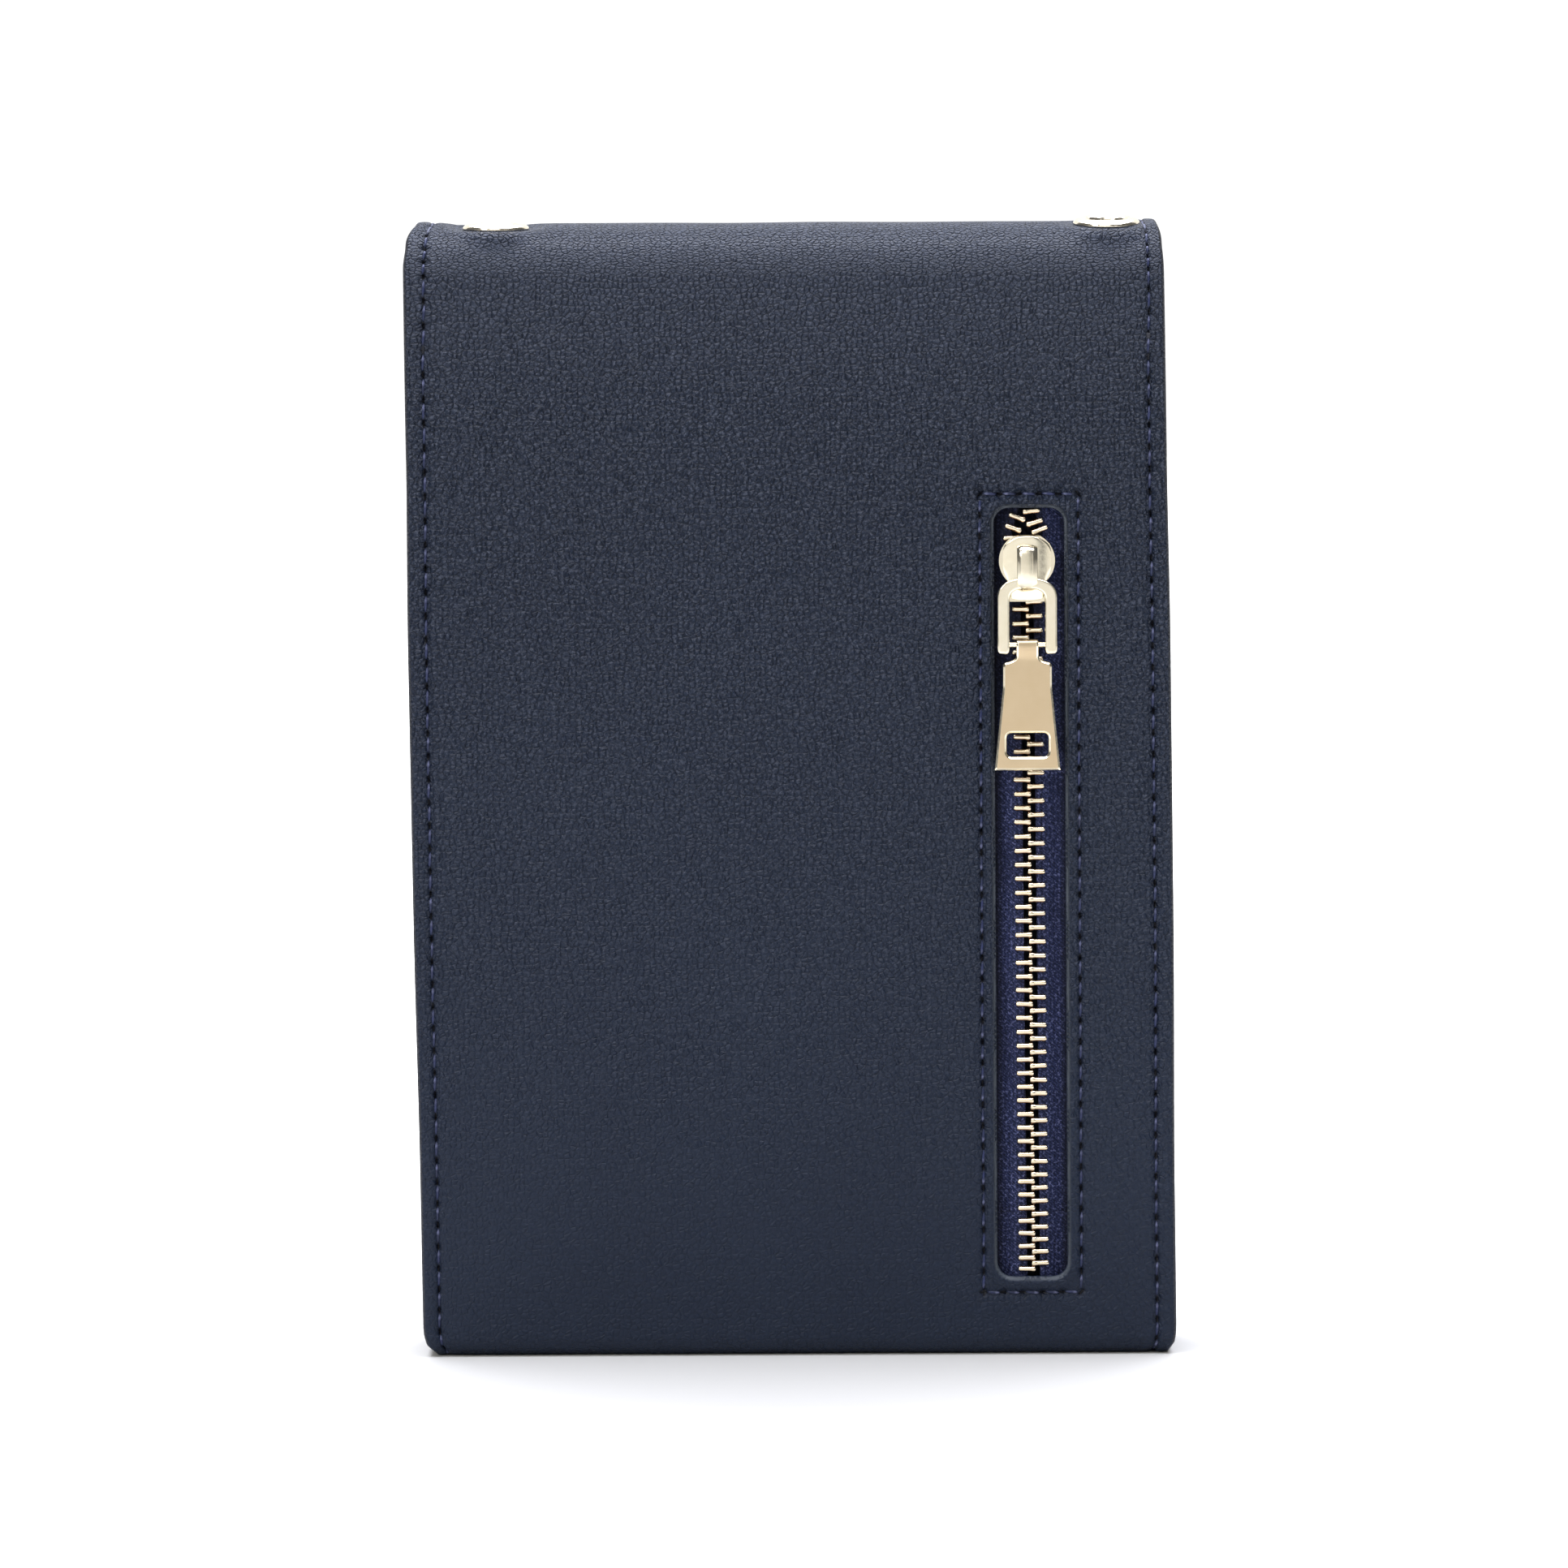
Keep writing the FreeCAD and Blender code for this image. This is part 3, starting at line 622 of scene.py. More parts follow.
def leather_mat(name, base, light, rough=(0.42, 0.56), cell=0.80, depth=0.00098, spec=0.235, attrs=True):
    """Fine pebbled calf: domed cells with creases between them, fine pores, painted edges; lighter specks as painted
    glints, painted shade in the creases and needle holes, a painted highlight on the slot's lip and a painted sheen
    near the top.
    """
    m = Mat(name)
    uv = m.uv()
    warp = m.node("ShaderNodeTexNoise", {"noise_dimensions": "2D"}, Vector=uv, Scale=60.0, Detail=2.0)
    wv = m.node("ShaderNodeVectorMath", {"operation": "MULTIPLY_ADD"}, _0=warp.outputs["Color"], _1=(0.006, 0.006, 0.0), _2=uv)
    vor = m.node("ShaderNodeTexVoronoi", {"voronoi_dimensions": "2D", "feature": "DISTANCE_TO_EDGE"}, Vector=wv.outputs[0], Scale=100.0 / cell, Randomness=0.92)
    vcell = m.node("ShaderNodeTexVoronoi", {"voronoi_dimensions": "2D", "feature": "F1"}, Vector=wv.outputs[0], Scale=100.0 / cell, Randomness=0.92)
    dome = m.rng(vor.outputs["Distance"], 0.0, 0.30, 0.0, 1.0)
    dome = m.math("POWER", dome, 0.6)
    fine = m.noise(uv, 420.0, 3.0, 0.6, "2D")
    mid = m.noise(uv, 105.0, 4.0, 0.6, "2D")
    big = m.noise(uv, 3.2, 4.0, 0.55, "2D")
    cellh = m.rng(vcell.outputs["Color"], 0.0, 1.0, 0.35, 1.0)
    hgt = m.math("MULTIPLY", dome, cellh)
    hgt = m.math("ADD", m.math("MULTIPLY", hgt, 0.62), m.math("MULTIPLY", mid, 0.55))
    hgt = m.math("ADD", hgt, m.math("MULTIPLY", fine, 0.16))
    sep = m.node("ShaderNodeSeparateXYZ", _0=uv)
    hgt = m.math("MULTIPLY", hgt, m.rng(sep.outputs["Y"], 0.45, 1.80, 0.20, 1.0))
    if attrs:
        lip = m.attr("lip")
        edge = m.attr("edge")
        pit = m.attr("pit")
        keep = m.math("SUBTRACT", 1.0, m.math("MAXIMUM", m.math("MULTIPLY", edge, 0.8), lip), True)
        hgt = m.math("MULTIPLY", hgt, keep)
    col = m.mix(m.rng(big, 0.3, 0.75, 0.0, 1.0), base, light)
    tone = m.rng(mid, 0.3, 0.72, 0.0, 1.0)
    col = m.mix(m.math("MULTIPLY", tone, 0.22), col, tuple(min(1.0, c * 1.9 + 0.004) for c in light))
    sp2 = m.node("ShaderNodeSeparateXYZ", _0=uv)
    grow = m.rng(sp2.outputs["Y"], 0.40, 1.85, 0.04, 1.0)
    # Painted highlight: lighter specks on the grain stand in for glints, stronger towards the top
    painted_glint = m.math("MAXIMUM", m.rng(m.noise(uv, 215.0, 2.5, 0.70, "2D"), 0.54, 0.66, 0.0, 1.0), m.rng(m.noise(uv, 128.0, 3.0, 0.66, "2D"), 0.56, 0.67, 0.0, 0.85))
    painted_glint = m.math("MULTIPLY", painted_glint, grow)
    col = m.mix(m.math("MULTIPLY", painted_glint, 0.76), col, (0.074, 0.086, 0.122))
    # Painted sheen: the upper back and the start of the roll are painted lighter
    col = m.mix(m.rng(sp2.outputs["Y"], 1.66, 1.87, 0.0, 0.52), col, (0.031, 0.039, 0.062))
    # Painted shade: the creases between the grain cells are painted darker, more so towards the top
    crease = m.math("MULTIPLY", m.rng(vor.outputs["Distance"], 0.0, 0.11, 0.5, 0.0), grow)
    col = m.mix(crease, col, tuple(c * 0.55 for c in base))
    if attrs:
        col = m.mix(edge, col, (0.012, 0.013, 0.019))
        # The lip round the slot is painted lighter: partly its smooth pressed edge, partly a painted highlight where
        # the bevel catches light
        col = m.mix(lip, col, (0.058, 0.068, 0.082))
        # Painted shadow: the needle holes are painted near black
        col = m.mix(pit, col, (0.002, 0.002, 0.004))
    ro = m.rng(m.math("ADD", m.math("MULTIPLY", mid, 0.6), m.math("MULTIPLY", fine, 0.4)), 0.3, 0.7, rough[0], rough[1])
    m.set(Base_Color=col, Roughness=ro)
    m.b.inputs["Specular IOR Level"].default_value = spec
    m.b.inputs["Sheen Weight"].default_value = 0.0
    m.b.inputs["Normal"].default_value = (0, 0, 0)
    m.put(m.b, "Normal", m.bump(hgt, depth))
    return m.m


def fabric_mat(name, base, light, pitch=0.34, depth=0.00006, rough=0.8):
    """A fine twill: slanting ribs crossed by threads."""
    m = Mat(name)
    uv = m.uv()
    rib = m.node("ShaderNodeTexWave", {"wave_type": "BANDS", "bands_direction": "DIAGONAL"}, Vector=uv, Scale=100.0 / pitch / 6.0, Distortion=0.8, Detail=1.0)
    wft = m.node("ShaderNodeTexWave", {"wave_type": "BANDS", "bands_direction": "X"}, Vector=uv, Scale=100.0 / pitch / 3.4, Distortion=0.5, Detail=1.0)
    fine = m.noise(uv, 500.0, 2.0, 0.6, "2D")
    big = m.noise(uv, 5.0, 3.0, 0.5, "2D")
    h = m.math("ADD", m.math("MULTIPLY", rib.outputs["Fac"], 0.7), m.math("MULTIPLY", wft.outputs["Fac"], 0.3))
    h = m.math("ADD", h, m.math("MULTIPLY", fine, 0.3))
    col = m.mix(m.rng(h, 0.2, 1.1, 0.0, 1.0), base, light)
    col = m.mix(m.rng(big, 0.3, 0.8, 0.0, 0.4), col, tuple(c * 0.7 for c in base))
    m.set(Base_Color=col, Roughness=m.rng(fine, 0.2, 0.8, rough - 0.08, rough + 0.08))
    m.b.inputs["Sheen Weight"].default_value = 0.25
    m.b.inputs["Sheen Roughness"].default_value = 0.5
    m.b.inputs["Specular IOR Level"].default_value = 0.3
    m.put(m.b, "Normal", m.bump(h, depth))
    return m.m


def tape_mat(name):
    """Knitted zip tape: small slanting stitches in upright wales, with paler flecks, and painted shadow along the
    slot's edges and round the slider.
    """
    m = Mat(name)
    uv = m.uv()
    wale = m.node("ShaderNodeTexWave", {"wave_type": "BANDS", "bands_direction": "X"}, Vector=uv, Scale=52.0, Distortion=2.2, Detail=2.0)
    sk = m.node("ShaderNodeMapping", Vector=uv, Rotation=(0, 0, math.radians(40.0)))
    st = m.node("ShaderNodeTexWave", {"wave_type": "BANDS", "bands_direction": "Y"}, Vector=sk.outputs[0], Scale=86.0, Distortion=4.5, Detail=2.0)
    fle = m.noise(uv, 270.0, 3.0, 0.7, "2D")
    fl2 = m.noise(uv, 230.0, 2.0, 0.75, "2D")
    big = m.noise(uv, 14.0, 2.0, 0.5, "2D")
    h = m.math("ADD", m.math("MULTIPLY", wale.outputs["Fac"], 0.14), m.math("MULTIPLY", st.outputs["Fac"], 0.24))
    h = m.math("ADD", h, m.math("MULTIPLY", fle, 0.9))
    col = m.ramp(m.rng(h, 0.35, 1.0, 0.0, 1.0), [(0.0, (0.003, 0.004, 0.014)), (0.42, (0.011, 0.016, 0.050)), (0.75, (0.029, 0.038, 0.108)), (1.0, (0.072, 0.082, 0.195))])
    col = m.mix(m.rng(fl2, 0.56, 0.67, 0.0, 0.85), col, (0.13, 0.145, 0.30))
    col = m.mix(m.rng(big, 0.35, 0.75, 0.0, 0.4), col, (0.005, 0.007, 0.024))
    pos = m.node("ShaderNodeSeparateXYZ", _0=m.obj((1000.0, 1000.0, 1000.0)))
    px, pz = pos.outputs["X"], pos.outputs["Z"]
    # Painted shadow: the tape is painted darker along both edges of the slot and over its left part round the slider
    slider_shade = m.math("MULTIPLY", m.rng(pz, 88.0, 101.0, 0.0, 0.85), m.rng(px, SLOT_X + 1.2, SLOT_X + 2.8, 1.0, 0.0))
    shade = m.math("MAXIMUM", m.rng(px, SLOT_X - 4.85, SLOT_X - 3.75, 1.0, 0.0), m.rng(px, SLOT_X + 4.35, SLOT_X + 5.1, 0.0, 0.8))
    shade = m.math("MAXIMUM", shade, slider_shade)
    col = m.mix(m.math("MULTIPLY", shade, 0.85), col, (0.0015, 0.0018, 0.005))
    m.set(Base_Color=col, Roughness=m.rng(fle, 0.2, 0.8, 0.55, 0.75))
    m.b.inputs["Sheen Weight"].default_value = 0.06
    m.b.inputs["Sheen Roughness"].default_value = 0.4
    m.b.inputs["Specular IOR Level"].default_value = 0.16
    m.put(m.b, "Normal", m.bump(h, 0.00016))
    return m.m


def thread_mat(name, base, light):
    """Twisted bonded thread: plies wind round each stitch, with a painted highlight near one end of each stitch."""
    m = Mat(name)
    uv = m.uv()
    ply = m.node("ShaderNodeTexWave", {"wave_type": "BANDS", "bands_direction": "DIAGONAL"}, Vector=uv, Scale=22.0, Distortion=0.4, Detail=1.0)
    fib = m.noise(uv, 300.0, 2.0, 0.6, "2D")
    big = m.noise(uv, 1.7, 2.0, 0.5, "2D")
    h = m.math("ADD", ply.outputs["Fac"], m.math("MULTIPLY", fib, 0.35))
    col = m.mix(m.rng(h, 0.1, 1.2, 0.0, 1.0), base, light)
    far = m.noise(m.obj((1000.0, 1000.0, 1000.0)), 0.21, 2.0, 0.5)
    col = m.mix(m.rng(far, 0.35, 0.7, 0.0, 0.7), col, (0.010, 0.014, 0.030))
    along = m.node("ShaderNodeSeparateXYZ", _0=uv).outputs["Y"]
    # Painted highlight near one end of each stitch
    tip_highlight = m.math("MULTIPLY", m.rng(along, 0.0165, 0.022, 0.0, 1.0), m.rng(along, 0.022, 0.029, 1.0, 0.0))
    col = m.mix(m.math("MULTIPLY", tip_highlight, m.rng(far, 0.3, 0.6, 0.3, 0.85)), col, (0.125, 0.135, 0.235))
    m.set(Base_Color=col, Roughness=m.rng(fib, 0.2, 0.8, 0.32, 0.50))
    m.b.inputs["Specular IOR Level"].default_value = 0.28
    m.put(m.b, "Normal", m.bump(h, 0.00006))
    return m.m


def metal_mat(name, base, warm, rough=(0.10, 0.20), depth=0.0000015, brushed=None, under=None):
    """Plated metal with faint polishing marks and a slightly uneven tone; under, when given, paints shade on faces
    turned downward.
    """
    m = Mat(name)
    co = m.obj((1000.0, 1000.0, 1000.0))
    big = m.noise(co, 0.35, 3.0, 0.5)
    fine = m.noise(m.obj(brushed or (1000.0, 1000.0, 1000.0)), 2.2 if brushed is None else 1.0, 3.0, 0.6)
    col = m.mix(m.rng(big, 0.3, 0.7, 0.0, 1.0), base, warm)
    if under:
        # Painted shade: faces turned downward are painted dark brown
        nz = m.node("ShaderNodeSeparateXYZ", _0=m.node("ShaderNodeNewGeometry").outputs["Normal"]).outputs["Z"]
        col = m.mix(m.rng(nz, -0.80, -0.15, 0.95, 0.0), col, under)
    m.set(Base_Color=col, Roughness=m.rng(fine, 0.25, 0.75, rough[0], rough[1]))
    m.b.inputs["Metallic"].default_value = 1.0
    m.put(m.b, "Normal", m.bump(fine, depth, 0.6))
    return m.m


LEATHER = leather_mat("navy_leather", (0.0041, 0.0089, 0.0226), (0.0056, 0.0111, 0.0260), rough=(0.38, 0.54))
LEATHER_IN = leather_mat("navy_leather_inside", (0.012, 0.018, 0.036), (0.016, 0.023, 0.043), cell=0.7, depth=0.00018)
SUEDE = fabric_mat("leather_flesh_side", (0.030, 0.033, 0.045), (0.050, 0.053, 0.066), pitch=0.5, rough=0.9)
LINING = fabric_mat("navy_lining", (0.022, 0.026, 0.042), (0.048, 0.054, 0.082))
TAPE = tape_mat("zip_tape")
THREAD = thread_mat("navy_thread", (0.008, 0.013, 0.040), (0.022, 0.030, 0.086))
GOLD = metal_mat("pale_gold", (0.96, 0.885, 0.70), (0.94, 0.85, 0.64), rough=(0.14, 0.24))
GOLD_PALE = metal_mat("pale_gold_polished", (0.92, 0.845, 0.69), (0.88, 0.79, 0.62), rough=(0.12, 0.24))
# The teeth get painted brown shade on their undersides
GOLD_TEETH = metal_mat("pale_gold_teeth", (0.84, 0.735, 0.55), (0.79, 0.675, 0.475), rough=(0.16, 0.30), under=(0.19, 0.075, 0.035))
GOLD_SOFT = metal_mat("pale_gold_ring", (0.86, 0.79, 0.625), (0.82, 0.74, 0.56), rough=(0.16, 0.28))
SATIN = metal_mat("satin_gold", (0.575, 0.452, 0.292), (0.552, 0.428, 0.270), rough=(0.30, 0.42), depth=0.000006, brushed=(300.0, 1000.0, 4000.0))
STEEL = metal_mat("pressed_steel", (0.60, 0.60, 0.60), (0.55, 0.55, 0.56), rough=(0.25, 0.4))


# ---------------------------------------------------------------- the outer leather, in two pieces laid round the bends
def stitch_run(points, pitch, closed=False):
    """Needle holes spaced evenly along a flat polyline, as points."""
    pts = np.asarray(points, float)
    if closed:
        pts = np.vstack([pts, pts[:1]])
    seg = np.hypot(*np.diff(pts, axis=0).T)
    cum = np.concatenate([[0], np.cumsum(seg)])
    if callable(pitch):
        at, pos = [0.0], 0.0
        while True:
            i = min(len(cum) - 2, np.searchsorted(cum, pos, "right") - 1)
            u = (pos - cum[i]) / max(seg[i], 1e-9)
            here = pts[i] + (pts[i + 1] - pts[i]) * u
            pos += pitch(here)
            if pos > cum[-1]:
                break
            at.append(pos)
        at = np.array(at)
    else:
        n = max(1, int(round(cum[-1] / pitch)))
        at = np.linspace(0, cum[-1], n + 1)
    x = np.interp(at, cum, pts[:, 0])
    y = np.interp(at, cum, pts[:, 1])
    return np.stack([x, y], 1)


def pitch_left(p):
    z = p[1] - S_BACK + RB
    return 3.15 + 0.45 * float(np.clip(z / 150.0, 0, 1.05))


def pitch_right(p):
    z = p[1] - S_BACK + RB
    return 3.02 + 0.28 * float(np.clip(z / 150.0, 0, 1.05))


sx = HW - SEAM
holes_left = stitch_run([(-sx, 1.6), (-sx, S_SPLIT)], pitch_left)
holes_right = stitch_run([(sx, 1.1), (sx, S_SPLIT)], pitch_right)
win_loop = rrect(SLOT_X, s_back((WIN_Z0 + WIN_Z1) / 2), WIN_HX, (WIN_Z1 - WIN_Z0) / 2, WIN_R, 0.4)
_wc = [(SLOT_X - WIN_HX, s_back(WIN_Z0)), (SLOT_X + WIN_HX, s_back(WIN_Z0)), (SLOT_X + WIN_HX, s_back(WIN_Z1)), (SLOT_X - WIN_HX, s_back(WIN_Z1))]
holes_win = np.vstack([stitch_run([_wc[k], _wc[(k + 1) % 4]], 2.62 if k % 2 == 0 else 3.07)[(0 if k == 0 else 1):] for k in range(4)])


def flap_seam(e, step=0.8):
    """The flap's seam, down one side, round the foot and up the other, at e in from the edge."""
    r = FLAP_R - e
    pts = [(-HW + e, S_SPLIT), (-HW + e, S_END - FLAP_R)]
    for i in range(1, 24):
        a = math.radians(180 - 90 * i / 24.0)
        pts.append((-HW + FLAP_R + r * math.cos(a), S_END - FLAP_R + r * math.sin(a)))
    pts.append((-HW + FLAP_R, S_END - e))
    pts.append((HW - FLAP_R, S_END - e))
    for i in range(1, 24):
        a = math.radians(90 - 90 * i / 24.0)
        pts.append((HW - FLAP_R + r * math.cos(a), S_END - FLAP_R + r * math.sin(a)))
    pts += [(HW - e, S_END - FLAP_R), (HW - e, S_SPLIT)]
    out = []
    for p, q in zip(pts, pts[1:]):
        p, q = np.array(p), np.array(q)
        n = max(1, int(math.ceil(np.hypot(*(q - p)) / step)))
        out += [p + (q - p) * i / n for i in range(n)]
    out.append(np.array(pts[-1]))
    return np.array(out)


_start = holes_left[-1][1] + pitch_left(holes_left[-1]) - S_SPLIT
seam_line = flap_seam(SEAM)
holes_flap = stitch_run(seam_line, 3.25)


def pit_points(holes, tangent=None):
    """Points that let the mesh follow each needle hole."""
    out = []
    for i, p in enumerate(holes):
        q = holes[min(i + 1, len(holes) - 1)] - holes[max(i - 1, 0)]
        t = q / max(np.hypot(*q), 1e-9)
        n = np.array([-t[1], t[0]])
        out.append(p)
        for k in range(8):
            a = 2 * math.pi * k / 8
            out.append(p + t * 0.46 * math.cos(a) + n * 0.13 * math.sin(a))
            out.append(p + t * 0.80 * math.cos(a + 0.39) + n * 0.27 * math.sin(a + 0.39))
    return np.array(out)


def pit_field(V, holes):
    """Depth of the needle holes, from 0 to 1, at flat points."""
    d = np.zeros(len(V))
    if not len(holes):
        return d
    for i, p in enumerate(holes):
        q = holes[min(i + 1, len(holes) - 1)] - holes[max(i - 1, 0)]
        t = q / max(np.hypot(*q), 1e-9)
        m = (np.abs(V[:, 0] - p[0]) < 1.6) & (np.abs(V[:, 1] - p[1]) < 1.6)
        if not m.any():
            continue
        r = V[m] - p
        a, b = r @ t, r @ np.array([-t[1], t[0]])
        d[m] = np.maximum(d[m], np.exp(-((a / 0.66) ** 4 + (b / 0.20) ** 2)))
    return d


def s_rows(a, b):
    """Rows along the path, closer together round the bends."""
    rows, s = [a], a
    while s < b - 1e-6:
        if s < S[2] + 0.2 and s > S[1] - 0.6 or (S[3] - 0.6 < s < S_BACK + 0.3):
            step = 0.42
        elif S_ROLL - 1 < s < S_TOP + 0.5 or S_FRONT - 1 < s < S_FLAP + 0.5:
            step = 0.75
        else:
            step = 1.0
        s = min(s + step, b)
        rows.append(s)
    return np.array(rows)


STRIP = [0.07, 0.18, 0.32, 0.48, 0.66, 1.0, 1.45, 1.9, 2.2, 2.42, 2.65, 2.88, 3.12, 3.45, 3.9, 4.6, 5.5]


def leather_back():
    rows = s_rows(0.0, S_SPLIT)
    xs_edge = np.concatenate([[-HW], -HW + np.array(STRIP), np.arange(-HW + 6.8, HW - 6.8, 1.75), HW - np.array(STRIP)[::-1], [HW]])
    left = [(-HW, s) for s in rows[::-1]]
    bottom = [(x, 0.0) for x in xs_edge[1:-1]]
    right = [(HW, s) for s in rows]
    top = [(x, S_SPLIT) for x in xs_edge[1:-1][::-1]]
    outline = np.array(left + bottom + right + top)
    slot = rrect(SLOT_X, s_back((SLOT_Z0 + SLOT_Z1) / 2), SLOT_HX, (SLOT_Z1 - SLOT_Z0) / 2, SLOT_R, 0.8)
    eyes = [np.array([(ex + 3.3 * math.cos(a), S_EYE + 3.3 * math.sin(a)) for a in np.linspace(0, 2 * math.pi, 48, endpoint=False)]) for ex in EYE]
    pts = []
    for e in STRIP:
        for sgn in (-1, 1):
            pts.append(np.stack([np.full(len(rows) - 2, sgn * (HW - e)), rows[1:-1]], 1))
    for s in [0.07, 0.18, 0.32, 0.48, 0.66]:
        gx = np.arange(-HW + 6.5, HW - 6.5, 1.5)
        pts.append(np.stack([gx, np.full(len(gx), s)], 1))
    for d in [0.07, 0.18, 0.32, 0.48, 0.66, 0.95, 1.3, 1.6, 1.82, 2.05, 2.3, 2.6, 3.0, 3.6, 4.4]:
        pts.append(rrect(SLOT_X, s_back((SLOT_Z0 + SLOT_Z1) / 2), SLOT_HX + d, (SLOT_Z1 - SLOT_Z0) / 2 + d, SLOT_R + d, 0.85))
    for ex in EYE:
        for r in (3.8, 4.4, 5.0, 5.6, 6.3, 7.1, 8.0, 9.0):
            n = int(10 + r * 5)
            ring = np.array([(ex + r * math.cos(a), S_EYE + r * math.sin(a)) for a in np.linspace(0, 2 * math.pi, n, endpoint=False)])
            pts.append(ring[(ring[:, 1] < S_SPLIT - 0.35) & (np.abs(ring[:, 0]) < HW - 5.8)])
    gs = []
    for s in rows[2::1]:
        if s > S_SPLIT - 0.5:
            continue
        dense = (S[1] - 0.6 < s < S[2] + 0.2) or (S[3] - 0.6 < s < S_BACK + 0.3) or (S_ROLL - 2 < s < S_TOP + 1)
        gs.append((s, dense))
    k = 0
    for s, dense in gs:
        k += 1
        if not dense and k % 2:
            continue
        off = 0.87 if (k // 2) % 2 else 0.0
        gx = np.arange(-HW + 6.6 + off, HW - 6.4, 1.75)
        pts.append(np.stack([gx, np.full(len(gx), s)], 1))
    P = np.vstack(pts)
    d = slot_sd(P[:, 0], P[:, 1])
    on_rings = np.zeros(len(P), bool)
    ngrid = sum(len(q) for q in pts[-len([g for g in gs]):]) if False else 0
    # grid points keep clear of the rings round the slot and the eyelets
    first_grid = sum(len(q) for q in pts[: len(STRIP) * 2 + 5])
    ring_count = sum(len(q) for q in pts[len(STRIP) * 2 + 5: len(STRIP) * 2 + 5 + 15 + 16])
    is_grid = np.zeros(len(P), bool)
    is_grid[: first_grid] = True
    is_grid[first_grid + ring_count:] = True
    drop = is_grid & (d < 5.1)
    for ex in EYE:
        drop |= is_grid & (np.hypot(P[:, 0] - ex, P[:, 1] - S_EYE) < 9.6) & (np.abs(P[:, 0]) < HW - 5.8)
        drop |= (np.hypot(P[:, 0] - ex, P[:, 1] - S_EYE) < 3.4)
    P = P[~drop]
    holes = np.vstack([holes_left, holes_right, holes_win])
    holes = holes[(holes[:, 1] > 1.0) & (holes[:, 1] < S_SPLIT - 0.7)]
    near = np.zeros(len(P), bool)
    for p in holes:
        near |= (np.abs(P[:, 0] - p[0]) < 0.30) & (np.abs(P[:, 1] - p[1]) < 0.85)
    P = P[~near]
    pp = []
    for grp in (holes_left, holes_right, holes_win):
        pp.append(pit_points(grp))
    pp = np.vstack(pp)
    pp = pp[(pp[:, 1] > 0.4) & (pp[:, 1] < S_SPLIT - 0.1)]
    P = np.vstack([P, pp])

    def out(V):
        x, s = V[:, 0], V[:, 1]
        pit = np.maximum(pit_field(V, holes_left), np.maximum(pit_field(V, holes_right), pit_field(V, holes_win)))
        return place(x, s, h_out(x, s) - 0.42 * pit)

    def inn(V):
        x, s = V[:, 0], V[:, 1]
        return place(x, s, h_in(x, s))

    def a_edge(V):
        e = edge_in(V[:, 0], V[:, 1])
        v = 1 - smooth(0.12, 0.50, e)
        return v, 1 - smooth(0.3, 0.8, e)

    def a_lip(V):
        d = slot_sd(V[:, 0], V[:, 1])
        return smooth(-0.02, 0.14, d) * (1 - smooth(0.34, 0.60, d)) * (d < 3), d * 0

    def a_pit(V):
        p = np.maximum(pit_field(V, holes_left), np.maximum(pit_field(V, holes_right), pit_field(V, holes_win)))
        return np.clip(p * 1.3, 0, 1), p * 0

    o = sheet("leather_back", [outline, slot] + eyes, P, out, inn, LEATHER,
              attrs={"edge": a_edge, "lip": a_lip, "pit": a_pit},
              open_test=lambda m: abs(m[1] - S_SPLIT) < 1e-3,
              keep=lambda C: np.ones(len(C), bool), mats=[LEATHER, SUEDE], face_mat=(0, 1, 0))
    return o, xs_edge


def leather_flap(xs_edge):
    rows = s_rows(S_SPLIT, S_END - FLAP_R)
    corner = []
    left = [(-HW, s) for s in rows[::-1]]
    start = [(x, S_SPLIT) for x in xs_edge[1:-1]]
    right = [(HW, s) for s in rows]
    arc_r, arc_l = [], []
    for i in range(1, 32):
        a = math.radians(90.0 * i / 32)
        arc_r.append((HW - FLAP_R + FLAP_R * math.cos(a), S_END - FLAP_R + FLAP_R * math.sin(a)))
    foot = [(x, S_END) for x in np.arange(HW - FLAP_R, -HW + FLAP_R, -1.2)] + [(-HW + FLAP_R, S_END)]
    for i in range(1, 32):
        a = math.radians(90.0 + 90.0 * i / 32)
        arc_l.append((-HW + FLAP_R + FLAP_R * math.cos(a), S_END - FLAP_R + FLAP_R * math.sin(a)))
    outline = np.array(start + right + arc_r + foot + arc_l + left)
    pts = []
    for e in STRIP:
        q = flap_seam(e, 0.95)
        pts.append(q[(q[:, 1] > S_SPLIT + 0.6)])
    k = 0
    for s in s_rows(S_SPLIT + 0.9, S_END - 1.5):
        k += 1
        dense = s < S_FLAP + 1
        if not dense and k % 2:
            continue
        gx = np.arange(-HW + 6.6 + (0.87 if k % 4 < 2 else 0), HW - 6.4, 1.75)
        g = np.stack([gx, np.full(len(gx), s)], 1)
        g = g[side_in(g[:, 0], g[:, 1]) > 6.2]
        pts.append(g)
    P = np.vstack(pts)
    near = np.zeros(len(P), bool)
    for p in holes_flap:
        near |= (np.hypot(P[:, 0] - p[0], P[:, 1] - p[1]) < 0.5)
    P = P[~near]
    pp = pit_points(holes_flap)
    pp = pp[pp[:, 1] > S_SPLIT + 0.5]
    P = np.vstack([P, pp])

    def out(V):
        x, s = V[:, 0], V[:, 1]
        return place(x, s, h_out(x, s) - 0.42 * pit_field(V, holes_flap[(holes_flap[:, 1] > S_SPLIT + 0.9)]))

    def inn(V):
        return place(V[:, 0], V[:, 1], h_in(V[:, 0], V[:, 1]))

    def a_edge(V):
        e = edge_in(V[:, 0], V[:, 1])
        return 1 - smooth(0.12, 0.50, e), 1 - smooth(0.3, 0.8, e)

    def a_pit(V):
        p = pit_field(V, holes_flap)
        return np.clip(p * 1.3, 0, 1), p * 0

    return sheet("leather_flap", [outline], P, out, inn, LEATHER, attrs={"edge": a_edge, "lip": lambda V: np.zeros(len(V)), "pit": a_pit},
                 open_test=lambda m: abs(m[1] - S_SPLIT) < 1e-3, mats=[LEATHER, SUEDE], face_mat=(0, 1, 0))


